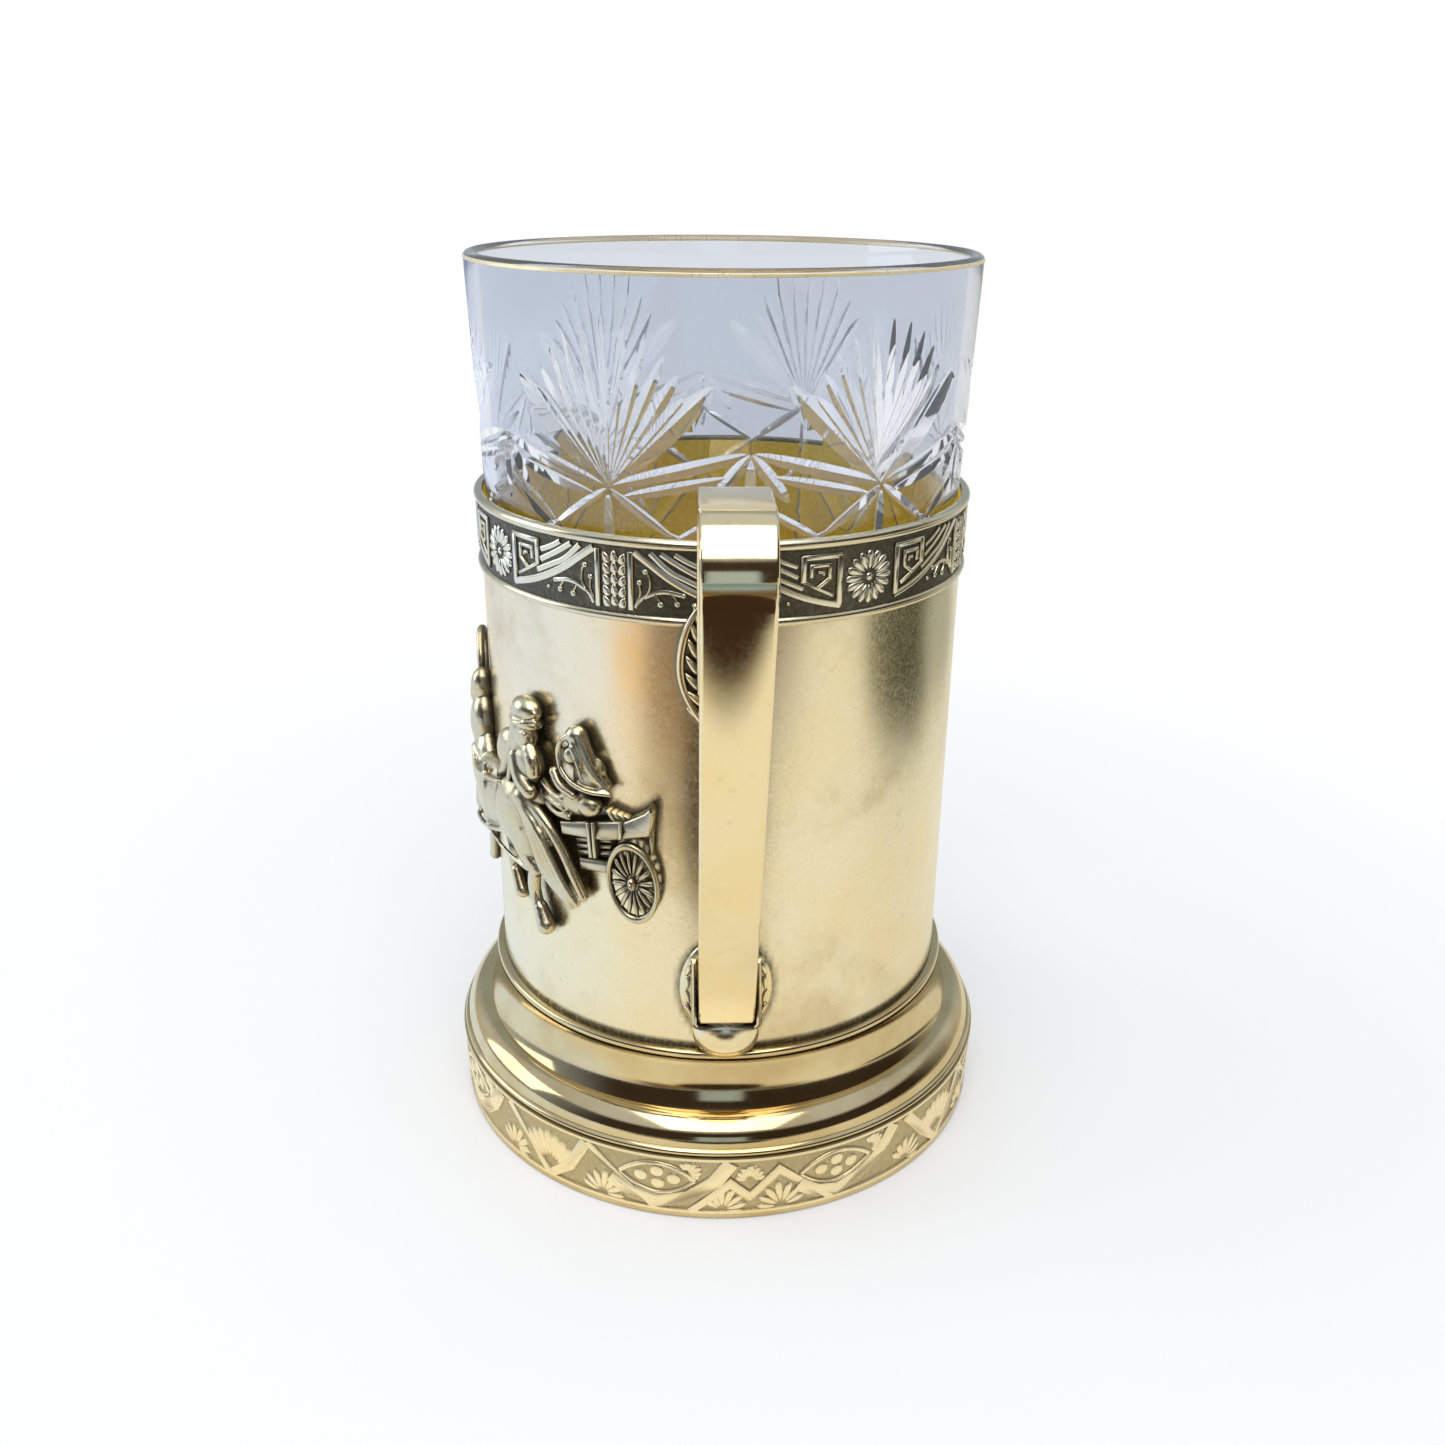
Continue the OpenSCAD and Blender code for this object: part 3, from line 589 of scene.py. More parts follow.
# the relief on the wall: lumps are (x along the wall, out, height), half sizes (x, out, z) and a tilt;
# strands are points (x, out, height), a radius, and the radius at the end as a share of it
relief = {
    "voxel": 0.22, "spread": 37.4,
    "smooth": {"relief_horse": 5, "relief_bow": 2, "relief_driver": 3, "relief_passenger": 4},
    "horse": [(-35.4, 1, 57.2, (5, 3.2, 6), 10), (-43.2, 1, 56.6, (8.6, 2.9, 5.6), 4),
        (-50, 1.1, 58.6, (4.6, 2.5, 5.8), -12), (-32.6, 1.2, 53.6, (3.2, 2.1, 4.6), 20),
        (-51.6, 1.1, 65, (3, 2.3, 4.8), -6), (-52.4, 1.1, 70.4, (2, 1.9, 3), 4),
        (-56.6, 1.3, 68, (3.2, 2, 3), -30), (-60.6, 1.2, 67, (3.4, 1.5, 1.8), -40),
        (-50.3, 1.2, 52.6, (2.8, 2.2, 3.2), 10)],
    "horseLimbs": [(((-34.4, 1.8, 54), (-32, 1.8, 51), (-30.4, 1.7, 49.4)), 1.8, 0.6),
        (((-30.6, 1.7, 50), (-31.6, 1.5, 46.4), (-31.2, 1.4, 43.9), (-30.3, 1.4, 42.4)), 1.05, 0.85),
        (((-30.4, 1.4, 42.8), (-29.1, 1.5, 40.5)), 1.15, 1.3),
        (((-39.8, 0.7, 53), (-38, 0.7, 49.8), (-38.6, 0.7, 47), (-37.4, 0.7, 45.2)), 1.3, 0.6),
        (((-37.7, 0.8, 45.8), (-36, 0.9, 43.2)), 1, 1.2),
        (((-51, 1.6, 54), (-55.6, 1.6, 53.6), (-58.4, 1.6, 52.6)), 1.7, 0.6),
        (((-58.2, 1.6, 52.8), (-58.8, 1.5, 49.4), (-57.6, 1.4, 47.6)), 0.95, 0.85),
        (((-57.8, 1.4, 48), (-56.8, 1.4, 46.2)), 1, 1.2),
        (((-49.6, 0.7, 52.4), (-51.6, 0.6, 48.6), (-53.6, 0.6, 44.4)), 1.5, 0.5),
        (((-53.4, 0.7, 44.8), (-54.6, 0.7, 41.8), (-55.6, 0.8, 40.2)), 0.85, 1.25)],
    "harness": [(((-50.2, 3.2, 61.6), (-46.4, 3.5, 60), (-41, 3.5, 60.6), (-37, 3.4, 61.4)), 0.4, 1),
        (((-57, 1.6, 47.2), (-49.6, 3.1, 50.6), (-43, 3.4, 51.8), (-37.4, 3.3, 53.4),
            (-32.2, 3.1, 55.6)), 0.38, 1),
        (((-42.2, 3.2, 62), (-41.6, 3.75, 58), (-42, 3.2, 51.6)), 0.38, 1),
        (((-43.6, 2.4, 50.4), (-37.6, 2.6, 49.8), (-31, 2.8, 49.4)), 0.35, 1)],
    "driver": [(-31.6, 1.4, 65.4, (3, 2.1, 3.8), 4), (-31.3, 1.9, 70.1, (2, 1.6, 2.2), 0),
        (-31.3, 1.5, 74, (2.7, 1.9, 1.9), 4), (-31.4, 1.7, 72.3, (3.1, 1.95, 1), 5),
        (-36.6, 1.3, 66, (3, 1.7, 3.6), 16), (-30.6, 1.3, 61.4, (3.2, 1.7, 2.4), 8),
        (-30.2, 2.5, 70.9, (0.55, 1.1, 0.5), 0), (-30.9, 2.4, 69, (1, 0.9, 0.8), 0)],
    "driverArms": [(((-29.9, 2.5, 68.4), (-28.8, 2.9, 67.2), (-28.7, 2.9, 65.6)), 1.15, 0.95),
        (((-33, 2.4, 66.6), (-31.2, 3, 63.8), (-29.4, 3.1, 62.6)), 1.35, 0.9),
        (((-33.2, 2, 71.2), (-34.2, 2.2, 68), (-36.6, 2.2, 63.6), (-38.6, 2, 61.6)), 1.05, 0.8),
        (((-32.4, 2.4, 69.6), (-33.4, 2.8, 66.4), (-34.8, 2.8, 62.6)), 0.7, 0.7)],
    "capLines": [(((-34.4, 2.3, 72.2), (-31.4, 3.5, 72.4), (-28.5, 2.3, 72.9)), 0.3, 1),
        (((-34.2, 2.2, 73.4), (-31.4, 3.3, 73.7), (-28.7, 2.1, 74)), 0.26, 1)],
    "passenger": [(-22.5, 1.7, 69.6, (1.25, 1.2, 1.5), 4), (-22, 1.2, 62.9, (3, 1.7, 2.4), 8),
        (-19.8, 1.6, 62.6, (2, 1.5, 1.7), 0), (-20, 1, 67, (2.6, 1.6, 3), 30)],
    "passengerFolds": [
        (((-21.8, 1.3, 72.4), (-20.6, 1.6, 70.4), (-19.2, 1.5, 67.8), (-17.6, 1, 65.9)), 1.6, 0.7),
        (((-22.2, 2, 73.2), (-23.8, 2.6, 71.2), (-24.1, 2.6, 68.8), (-22.8, 2.9, 66.8), (-20, 3, 65.5),
            (-16.4, 2, 65)), 0.42, 0.9),
        (((-21.6, 3, 71.4), (-20.4, 3.3, 69), (-19.6, 3.3, 66.9)), 0.36, 0.6),
        (((-25.6, 2, 66.4), (-24, 2.6, 65), (-21.6, 2.9, 64.2)), 0.75, 0.8),
        (((-28.6, 1.4, 62.4), (-26, 2, 61.8), (-23.6, 2.4, 61.4)), 0.6, 0.8),
        (((-28.4, 1.5, 63.9), (-26.2, 2.1, 63.2), (-23.8, 2.5, 62.8)), 0.6, 0.8),
        (((-27.6, 1.5, 60.8), (-25.6, 1.9, 60.2), (-23, 2.2, 60.2)), 0.6, 0.8)],
    "tail": [(((-32, 1.8, 60.4), (-28.6, 2, 56.4), (-26.4, 1.9, 51.6), (-23.8, 1.4, 47.6)), 2.2, 0.75),
        (((-31.4, 2.4, 61), (-27.2, 2.6, 58.6), (-24.4, 2.4, 55), (-22.6, 2.1, 51),
            (-21.4, 1.6, 47.8)), 0.95, 0.8),
        (((-31.4, 3.1, 60.2), (-28, 3.5, 57.4), (-25.6, 3.3, 53.4), (-23.8, 2.8, 49.6),
            (-22.3, 2, 46.6)), 0.75, 0.8),
        (((-31, 3.1, 58.8), (-28.8, 3.5, 55.6), (-27, 3.3, 51.6), (-25, 2.7, 48.2),
            (-23.4, 1.9, 45.8)), 0.7, 0.8),
        (((-30.8, 2.6, 57.2), (-29.2, 2.9, 54.2), (-27.8, 2.8, 50.8), (-26, 2.2, 48),
            (-24.6, 1.6, 46.2)), 0.7, 0.8)],
    "bow": [
        (((-52.6, 1, 62), (-53.6, 1.1, 71), (-55.6, 1.2, 75.8), (-58.6, 1.2, 77.4), (-61.4, 1.2, 74.8),
            (-61.4, 1.3, 69), (-59.4, 1.2, 63), (-56.6, 1.1, 57.6)), 0.65, 1)]}


def softWork(rows, limbs):
    bm = bmesh.new()
    for x, out, z, size, tilt in rows:
        bead(bm, x, out, z, size, tilt, level=3)
    for points, radius, taper in limbs:
        strand(bm, points, radius, taper, 1, 6, 3)
        for point, size in ((points[0], radius), (points[-1], radius * taper)):
            bead(bm, *point, (size, size, size), level=3)
    return bm


# fuses overlapping lumps into one skin, smooths it, and cuts off what lies behind the wall
def fuse(bm, voxel, smooth):
    holder = toObject("lumps", bm)
    remesh = holder.modifiers.new("skin", "REMESH")
    remesh.mode, remesh.voxel_size = "VOXEL", voxel
    soften = holder.modifiers.new("soften", "SMOOTH")
    soften.factor, soften.iterations = 0.5, smooth
    made = bmesh.new()
    made.from_mesh(holder.evaluated_get(bpy.context.evaluated_depsgraph_get()).to_mesh())
    bpy.data.objects.remove(holder)
    cutOff(made, (0, 0, 0), (0, 1, 0))
    return made


def makeReliefFigures():
    r = relief
    figures = {"relief_horse": (r["horse"], r["horseLimbs"] + r["tail"] + r["harness"]),
               "relief_bow": ([], r["bow"]),
               "relief_driver": (r["driver"], r["driverArms"] + r["capLines"]),
               "relief_passenger": (r["passenger"], r["passengerFolds"])}
    for name, (lumps, strands) in figures.items():
        bm = fuse(softWork(lumps, strands), r["voxel"], r["smooth"][name])
        wrapRound(bm, cup["outer"], r["spread"])
        finishPiece(name, bm, "relief", "cart_relief", 180)


# the hub's balls are how far out, a size and a fineness; boards are an outline, how far out and a rounding
cart = {
    "wheel": (-13.3, 52), "half": (3.9, 6.3), "rim": 0.62, "spokes": 16, "spoke": (0.46, 0.5, 0.36),
    "spokeReach": 0.52, "spokeTaper": 0.35, "lean": 7, "out": 1.7,
    "hub": [(0.25, (1.05, 0.9, 1.05), 3), (0.9, (0.5, 0.6, 0.5), 2)],
    "rails": [
        ([(-24.3, 57.2), (-17.2, 58), (-10.9, 59.7), (-10.3, 60.1), (-10, 63.4), (-10.5, 64.2),
            (-11.3, 63.2), (-14, 61.6), (-24.6, 59.2)], 2.5, 0.3),
        ([(-22.2, 53.9), (-16.9, 55.3), (-16.2, 58.6), (-22.8, 57.4)], 1, 0.1)],
    "posts": [([(-19.6, 55), (-19, 55.1), (-19.3, 60.4), (-19.9, 60.3)], 2.7, 0.12),
        ([(-18.9, 55.1), (-18.4, 55.2), (-18.6, 60.6), (-19.1, 60.5)], 2.7, 0.12),
        ([(-15, 58.7), (-14.5, 58.9), (-14.4, 61.6), (-14.9, 61.5)], 2.65, 0.12),
        ([(-11.1, 56.4), (-10.5, 56.6), (-10.3, 60.2), (-11, 60)], 1.2, 0.15),
        ([(-22, 51.9), (-15.4, 52.6), (-15.2, 54.6), (-22.2, 53.8)], 1.5, 0.3)]}


def makeWheel():
    c = cart
    wide, tall = c["half"]
    wheel = bmesh.new()
    ring = ops.create_circle(wheel, radius=c["rim"], segments=12)["verts"]
    rotate(wheel, ring, pi / 2, "X")
    ops.translate(wheel, vec=(tall - c["rim"], 0, 0), verts=ring)
    spinRound(wheel, wheel.verts[:] + wheel.edges[:], 64)
    rotate(wheel, wheel.verts, pi / 2, "X")
    width, depth, length = c["spoke"]
    for i in range(c["spokes"]):
        petal(wheel, (0, 0), 0, 360 * i / c["spokes"], tall * c["spokeReach"], (width, depth, tall * length),
              c["spokeTaper"])
    for out, size, level in c["hub"]:
        bead(wheel, 0, out, 0, size, level=level)
    ops.scale(wheel, vec=(wide / tall, 1, 1), verts=wheel.verts)
    rotate(wheel, wheel.verts, radians(-c["lean"]), "Y")
    ops.translate(wheel, vec=(c["wheel"][0], -c["out"], c["wheel"][1]), verts=wheel.verts)
    return wheel


def makeCart():
    bm = bmesh.new()
    wheel = makeWheel()
    addBm(bm, wheel)
    wheel.free()
    for outline, front, round in cart["rails"]:
        plate(bm, outline, 0, front, round)
    for k in range(4):  # the planks of the side
        x, z = -22.2 - 0.1 * k, 54.3 + 0.95 * k
        plate(bm, [(x, z), (-16.6, z + 1.25), (-16.5, z + 1.95), (x - 0.1, z + 0.7)], 0, 1.5, 0.14)
    for outline, front, round in cart["posts"]:
        plate(bm, outline, 0, front, round)
    for k in range(4):  # the boards of the seat's back, seen edge on
        x, z = -17.3 + 0.85 * k, 62.6 - 0.2 * k
        plate(bm, [(x, z), (x + 0.55, z - 0.1), (x + 1.75, 61.2), (x + 1.2, 60.9)], 0, 1.9 - 0.15 * k, 0.12)
    wrapRound(bm, cup["outer"], relief["spread"])
    finishPiece("relief_cart", bm, "relief", "cart_relief", 50)


makeReliefFigures()
makeCart()
print("relief ready")

# the collar's strip: half a repeat runs from a rosette's middle to the next wheat ear's middle
# bars are two ends and a width, arcs are points and a radius, berries are a place and a size
frieze = {
    "ground": 35.85, "front": 0.33, "bold": 1.3, "low": 90.55, "high": 99.15, "half": 22.2, "middle": 94.8,
    "petals": 16, "petalReach": 2.4, "petal": (0.52, 0.34, 1.4), "rosetteZ": 94.7, "eye": (0.6, 0.34, 0.6),
    "bars": [((4.6, 91.5), (4.6, 98.3), 0.62), ((4.3, 98.25), (9.9, 98.25), 0.6),
        ((9.7, 98.5), (9.7, 94.9), 0.6), ((8.65, 95.5), (8.65, 97.25), 0.42),
        ((8.85, 97.1), (5.95, 97.1), 0.42), ((6.1, 97.3), (6.1, 95.1), 0.42),
        ((6.05, 95.3), (7.8, 94), 0.42), ((7.75, 96.2), (6.9, 96.2), 0.34),
        ((6.95, 96.3), (6.95, 95.7), 0.3), ((19.85, 90.9), (19.85, 98.9), 0.55),
        ((9.7, 95.05), (5.5, 92.85), 0.4)],
    "arcs": [(((4.4, 91.45), (7.4, 92.25), (10.3, 93.3), (14.4, 95.4), (17.2, 97.4), (19.3, 98.9)), 0.42),
        (((9.7, 94.2), (12.4, 95.5), (14.6, 96.6), (17.2, 98.9)), 0.32),
        (((10.4, 95.8), (13.2, 97.3), (15.8, 98.9)), 0.32), (((10.5, 97.2), (12.4, 98), (14, 98.9)), 0.3),
        (((18.6, 92.2), (17.5, 93.6), (17.3, 95.2), (17.7, 96.2)), 0.18),
        (((19.1, 92), (18.6, 93.2), (18.7, 94.6)), 0.16),
        (((19.2, 91.3), (18.6, 92.4), (17.4, 93.2), (15.5, 93.8), (13.2, 93.5)), 0.24),
        (((16.6, 93.5), (16.2, 92.7), (15.9, 92.3)), 0.16), (((14.6, 93.7), (14, 93), (13.7, 92.5)), 0.16)],
    "berries": [(13.7, 92.2, 0.44), (15.9, 92, 0.46), (17.9, 96.3, 0.42), (18.7, 94.8, 0.4),
        (12.9, 93.4, 0.4), (11.6, 92.2, 0.3)],
    "left": (-37.3, -15.15), "right": (19.1, 41.3), "backHalves": 7, "seam": (-1.7, 0), "squeeze": 0.03,
    "seamBar": ((-0.75, 90.6), (-0.75, 99.1), 0.9), "wheatLow": 91.75, "wheatStep": 1.5, "wheatRows": 5,
    "grain": (0.56, 0.32, 0.92), "grainAside": 1.18, "grainTilt": 22}


def bar(bm, start, end, width, front, round=0.1):
    a, b = Vector(start), Vector(end)
    side = Vector((-(b - a).y, (b - a).x)).normalized() * width / 2
    plate(bm, [a + side, a - side, b - side, b + side], 0, front, round)


def makeRosette():
    f = frieze
    bm = bmesh.new()
    for i in range(f["petals"]):
        petal(bm, (0, f["rosetteZ"]), 0.04, 360 * i / f["petals"], f["petalReach"], f["petal"], 0.5)
    bead(bm, 0, 0.02, f["rosetteZ"], f["eye"])
    return bm


def makeHalfRepeat():
    bm = bmesh.new()
    for start, end, width in frieze["bars"]:
        bar(bm, start, end, width * frieze["bold"], frieze["front"])
    for points, radius in frieze["arcs"]:
        thick = radius * frieze["bold"]
        strand(bm, [(x, 0.04, z) for x, z in points], thick, 1, 0.3 / thick, 5, 1)
    for x, z, size in frieze["berries"]:
        bead(bm, x, 0.02, z, (size, 0.32, size))
    return bm


def makeWheat():
    f = frieze
    bm = bmesh.new()
    for row in range(f["wheatRows"]):
        z = f["wheatLow"] + f["wheatStep"] * row
        for side in (-1, 0, 1):
            up = 0.25 * (1 - abs(side))
            bead(bm, side * f["grainAside"], 0.02, z + up, f["grain"], side * f["grainTilt"], -0.45)
    return bm


# sets one repeat down with its middle at a place along the strip, turned to face either way
def setDown(target, source, place, way=1, reach=1, keepFrom=None, keepTo=None):
    piece = bmesh.new()
    addBm(piece, source, Matrix.Translation((place, 0, 0)) @ Matrix.Diagonal((way * reach, 1, 1, 1)))
    for limit, normal in ((keepFrom, -1), (keepTo, 1)):
        if limit is not None:
            cutOff(piece, (limit, 0, 0), (normal, 0, 0))
    addBm(target, piece)
    piece.free()


def makeFrieze():
    f = frieze
    ground, half = f["ground"], f["half"]
    rosette, repeat, wheat = makeRosette(), makeHalfRepeat(), makeWheat()
    bm = bmesh.new()
    leftRosette, leftWheat = f["left"]
    rightRosette, rightWheat = f["right"]
    setDown(bm, repeat, leftRosette, 1, (leftWheat - leftRosette) / half)
    setDown(bm, repeat, leftWheat + half, -1, keepTo=f["seam"][0])
    setDown(bm, repeat, rightRosette, -1, keepFrom=f["seam"][1])
    setDown(bm, repeat, rightRosette, 1, (rightWheat - rightRosette) / half)
    reach = (2 * pi * ground + leftRosette - rightWheat) / f["backHalves"] / half
    places = [rightWheat + reach * half * i for i in range(f["backHalves"] + 1)]
    for i in range(1, len(places), 2):  # the hidden half, with a rosette at every second place
        setDown(bm, repeat, places[i], -1, reach)
        setDown(bm, rosette, places[i])
        if i < f["backHalves"]:
            setDown(bm, repeat, places[i], 1, reach)
            setDown(bm, wheat, places[i + 1])
    for place in (leftWheat, rightWheat):
        setDown(bm, wheat, place)
    setDown(bm, rosette, rightRosette)
    bar(bm, *f["seamBar"], f["front"])
    for v in bm.verts:
        v.co.z += f["squeeze"] * (f["middle"] - v.co.z)
    for part in (rosette, repeat, wheat):
        part.free()
    wrapRound(bm, ground - 0.02)
    finishPiece("collar_ornament", bm, "frieze", "frieze_strip", 60)
    low, high, back = f["low"], f["high"], cup["outer"]
    strip = turned([(back, low), (ground, low), (ground, high), (back, high)])
    finishPiece("collar_ground", strip, "frieze", "frieze_strip")


makeFrieze()
print("strip ready")

# the foot's band: ribbons are points and a width, leaf panels are a foot point, a lean and a length
footBand = {
    "low": 0.9, "high": 11.1, "lowR": 42.48, "highR": 42.88, "front": 0.3, "repeats": 4, "period": 67.55,
    "edge": 0.3, "edgeHigh": (0.45, 0.55), "keepIn": 0.05,
    "ribbons": [([(-37.3, 10.4), (-32.6, 5), (-28.6, 0.9)], 1.9),
        ([(-28.6, 0.9), (-24.6, 4.6), (-21.4, 10.4)], 1.9),
        ([(-21.3, 10.4), (-15.6, 5.2), (-10.4, 1)], 1.5),
        ([(-17.6, 5.4), (-14.2, 3.3), (-10.2, 2.5), (-5.4, 3.9), (-1.6, 6.8), (0.8, 10.4)], 2.5),
        ([(-5.2, 0.9), (0.7, 6.6), (3.6, 3.9), (7.9, 8.6), (11.2, 5.6), (16.4, 0.9)], 1.6),
        ([(10.8, 5.2), (13.8, 3.2), (17.2, 2.5), (21.6, 3.9), (25.2, 6.8), (27.4, 10.4)], 2.5)],
    "lenses": [(-10.2, 6.9), (17, 6.9)], "lensHalf": (5.8, 2.7), "lensSteps": 6, "lensWidths": (0.7, 0.5),
    "berry": (1.1, 0.3, 1.1), "berries": [(-2.5, 0), (0, 1.15), (0.1, -1.05), (2.5, 0)],
    "leafPanels": [(-19, 1.5, 9, 4.6), (-0.5, 1.5, 22, 4.4), (8.4, 1.5, -8, 4.8), (30.6, 1.8, 25, 4.6),
        (3.6, 7, 0, 2.9), (-5.9, 8.2, 62, 2.6), (22.9, 8.3, 62, 2.6)],
    "leafTurn": 25, "palmette": (-28.6, 1.9), "palmTurn": 13, "palmReach": 5, "palmPetal": (0.9, 0.32, 2.7)}


def ribbon(bm, points, width, front, round=0.14):
    line = [Vector(p) for p in points]
    left, right = [], []
    for i, point in enumerate(line):
        before = (point - line[i - 1]).normalized() if i else (line[1] - point).normalized()
        after = (line[i + 1] - point).normalized() if i < len(line) - 1 else before
        along = (before + after).normalized()
        side = Vector((-along.y, along.x)) * width / 2 / max(0.6, along.dot(before))
        left.append(point + side)
        right.append(point - side)
    plate(bm, left + right[::-1], 0, front, round)


def makeBandRepeat():
    b = footBand
    repeat = bmesh.new()
    for points, width in b["ribbons"]:
        ribbon(repeat, points, width, b["front"])
    halfW, halfH = b["lensHalf"]
    steps = b["lensSteps"]
    for x, z in b["lenses"]:
        for side, width in zip((1, -1), b["lensWidths"]):
            shares = [k / steps for k in range(-steps, steps + 1)]
            line = [(x + halfW * share, z + side * halfH * (1 - share ** 2)) for share in shares]
            ribbon(repeat, line, width, b["front"], 0.1)
        for dx, dz in b["berries"]:
            bead(repeat, x + dx, 0.02, z + dz, b["berry"], level=3)
    for x, z, lean, length in b["leafPanels"]:
        for k in range(-3, 4):
            size = (0.62, 0.3, length * (0.46 - 0.04 * abs(k)))
            petal(repeat, (x, z), 0, lean + b["leafTurn"] * k, length * (0.58 - 0.035 * abs(k)), size, 0.4)
    for k in range(-3, 4):
        reach = b["palmReach"] - 0.12 * abs(k)
        petal(repeat, b["palmette"], 0, b["palmTurn"] * k, reach, b["palmPetal"], 0.5)
    return repeat


def makeFootBand():
    b = footBand
    low, high, lowR, highR = b["low"], b["high"], b["lowR"], b["highR"]
    repeat = makeBandRepeat()
    bm = bmesh.new()
    pitch = 2 * pi * lowR / b["repeats"]
    for i in range(b["repeats"]):
        place = Matrix.Translation((pitch * i, 0, 0))
        addBm(bm, repeat, place @ Matrix.Diagonal((pitch / b["period"], 1, 1, 1)))
    repeat.free()
    wrapRound(bm, lowR - 0.02)
    for v in bm.verts:  # the band leans out with height
        v.co.z = min(max(v.co.z, low + b["keepIn"]), high - b["keepIn"])
        grow = 1 + (highR - lowR) / (high - low) * (v.co.z - low) / lowR
        v.co.x *= grow
        v.co.y *= grow
    finishPiece("foot_band_ornament", bm, "band", "foot_band", 50)
    out = b["edge"]
    tall, slope = b["edgeHigh"]
    outline = [(lowR - out, low), (lowR + out, low), (lowR + out, low + tall), (lowR, low + slope),
               (highR, high - slope), (highR + out, high - tall), (highR + out, high), (highR - out, high)]
    finishPiece("foot_band_ground", turned(outline, 256), "band", "foot_band")


makeFootBand()
print("foot band ready")

# the cast leaf above and the socket below hold the strap
leaf = {
    "low": 73.65, "high": 94.65, "half": 6.6, "point": 0.35, "thick": 0.7, "proud": 1.15, "rim": 0.45,
    "lobes": 7, "lobeLow": 4, "lobeStep": 2.25, "lobe": (0.62, 0.62, 1.75), "vein": (0.34, 0.5, 1.2),
    "rib": [(0, 1.3, 75), (0, 1.7, 84), (0, 1.3, 93.6)], "bud": (75.4, (1, 0.6, 1.4)), "rightShare": 0.82}
socket = {
    "low": 26.6, "high": 43.8, "half": 6.7, "dome": 1.75, "trayLow": 30.7, "trayTop": 40.6, "rim": 0.95,
    "play": 0.2, "bend": 1.6, "bendStep": 15, "back": 0.4, "front": 4.1, "inside": 0.75,
    "boss": (4.7, 3.5, 4.4), "bossOut": 1.1, "bossZ": 29.1, "sprigs": 4, "sprigLow": 32, "sprigStep": 2.3,
    "sprig": (0.42, 0.4, 1.35), "lean": 3.4, "fall": 6.4, "fallFrom": 0.6}


def ovalOutline(mid, half, height, point=0, steps=64):
    outline = []
    for i in range(steps):
        turn = 2 * pi * i / steps
        narrow = 1 - point * max(0, -sin(turn)) ** 2
        outline.append((half * cos(turn) * narrow, mid + height * sin(turn)))
    return outline


def makeLeafPlate():
    c = leaf
    bm = bmesh.new()
    mid, tall = (c["low"] + c["high"]) / 2, (c["high"] - c["low"]) / 2
    plate(bm, ovalOutline(mid, c["half"], tall, c["point"]), 0, c["thick"], 0.3)
    rim = ovalOutline(mid, c["half"] - c["rim"], tall - c["rim"], c["point"])
    strand(bm, [(x, c["proud"], z) for x, z in rim + rim[:1]], 0.5, 1, 1, 1, 2)
    for side in (-1, 1):
        for k in range(c["lobes"]):  # the lobes lie between the rim and the rib
            z = c["low"] + c["lobeLow"] + c["lobeStep"] * k
            wide = 3 + 1.5 * sin(pi * (0.2 + 0.1 * k))
            bead(bm, side * wide, c["proud"] - 0.15, z, c["lobe"], side * (58 - 7 * k), -0.3, level=3)
            bead(bm, side * (wide - 1.3), c["proud"] + 0.05, z - 0.4, c["vein"], side * (40 - 5 * k), 0.2)
    strand(bm, c["rib"], 0.6, 0.8)
    bead(bm, 0, c["proud"], *c["bud"], 0, 0.4, level=3)
    for v in bm.verts:  # the cast leaf is a little narrower on its right
        v.co.x *= c["rightShare"] if v.co.x > 0 else 1
    wrapRound(bm, cup["outer"])
    finishPiece("handle_leaf_plate", bm, "mount", "handle_leaf", 50)


# the tray round the strap's lower end; its sides follow the strap's lean and fall back at their tops
def makeTray():
    c = socket
    half, wide = strap["endWidth"] / 2 + c["play"], strap["endWidth"] / 2 + c["rim"]
    low, top, inside = c["trayLow"], c["trayTop"], c["trayLow"] + c["inside"]
    turns = [radians(c["bendStep"] * i) for i in range(7)]
    outer = [(-wide, top)]
    outer += [(-wide + c["bend"] * (1 - cos(t)), low + c["bend"] * (1 - sin(t))) for t in turns]
    outer += [(-x, z) for x, z in outer[::-1]]
    inner = [(half, top), (half, low + 1.2), (half - 0.5, inside)]
    inner += [(-x, z) for x, z in inner[::-1]]
    tray = bmesh.new()
    plate(tray, outer + inner, c["back"], c["front"], 0.32)
    for v in tray.verts:
        share = (v.co.z - low) / (top - low)
        if v.co.y < -2:
            v.co.y -= c["lean"] * share - c["fall"] * max(0, share - c["fallFrom"]) / (1 - c["fallFrom"])
    ops.translate(tray, vec=(0, -cup["outer"], 0), verts=tray.verts)
    return tray


def makeSocket():
    c = socket
    bm = bmesh.new()
    mid, tall = (c["low"] + c["high"]) / 2, (c["high"] - c["low"]) / 2
    bead(bm, 0, 0, mid, (c["half"], c["dome"], tall), level=5)
    bead(bm, 0, c["bossOut"], c["bossZ"], c["boss"], level=5)
    for side in (-1, 1):
        for k in range(c["sprigs"]):  # chased leaves beside the tray
            x = side * (5.35 - 0.12 * (k - 1.5) ** 2)
            bead(bm, x, 0.95, c["sprigLow"] + c["sprigStep"] * k, c["sprig"], side * (26 - 17 * k), 0.3)
    cutOff(bm, (0, 0, 0), (0, 1, 0))
    wrapRound(bm, cup["outer"])
    tray = makeTray()
    addBm(bm, tray)
    tray.free()
    finishPiece("handle_socket_cup", bm, "mount", "handle_socket", 45)


makeLeafPlate()
makeSocket()
print("handle mounts ready")
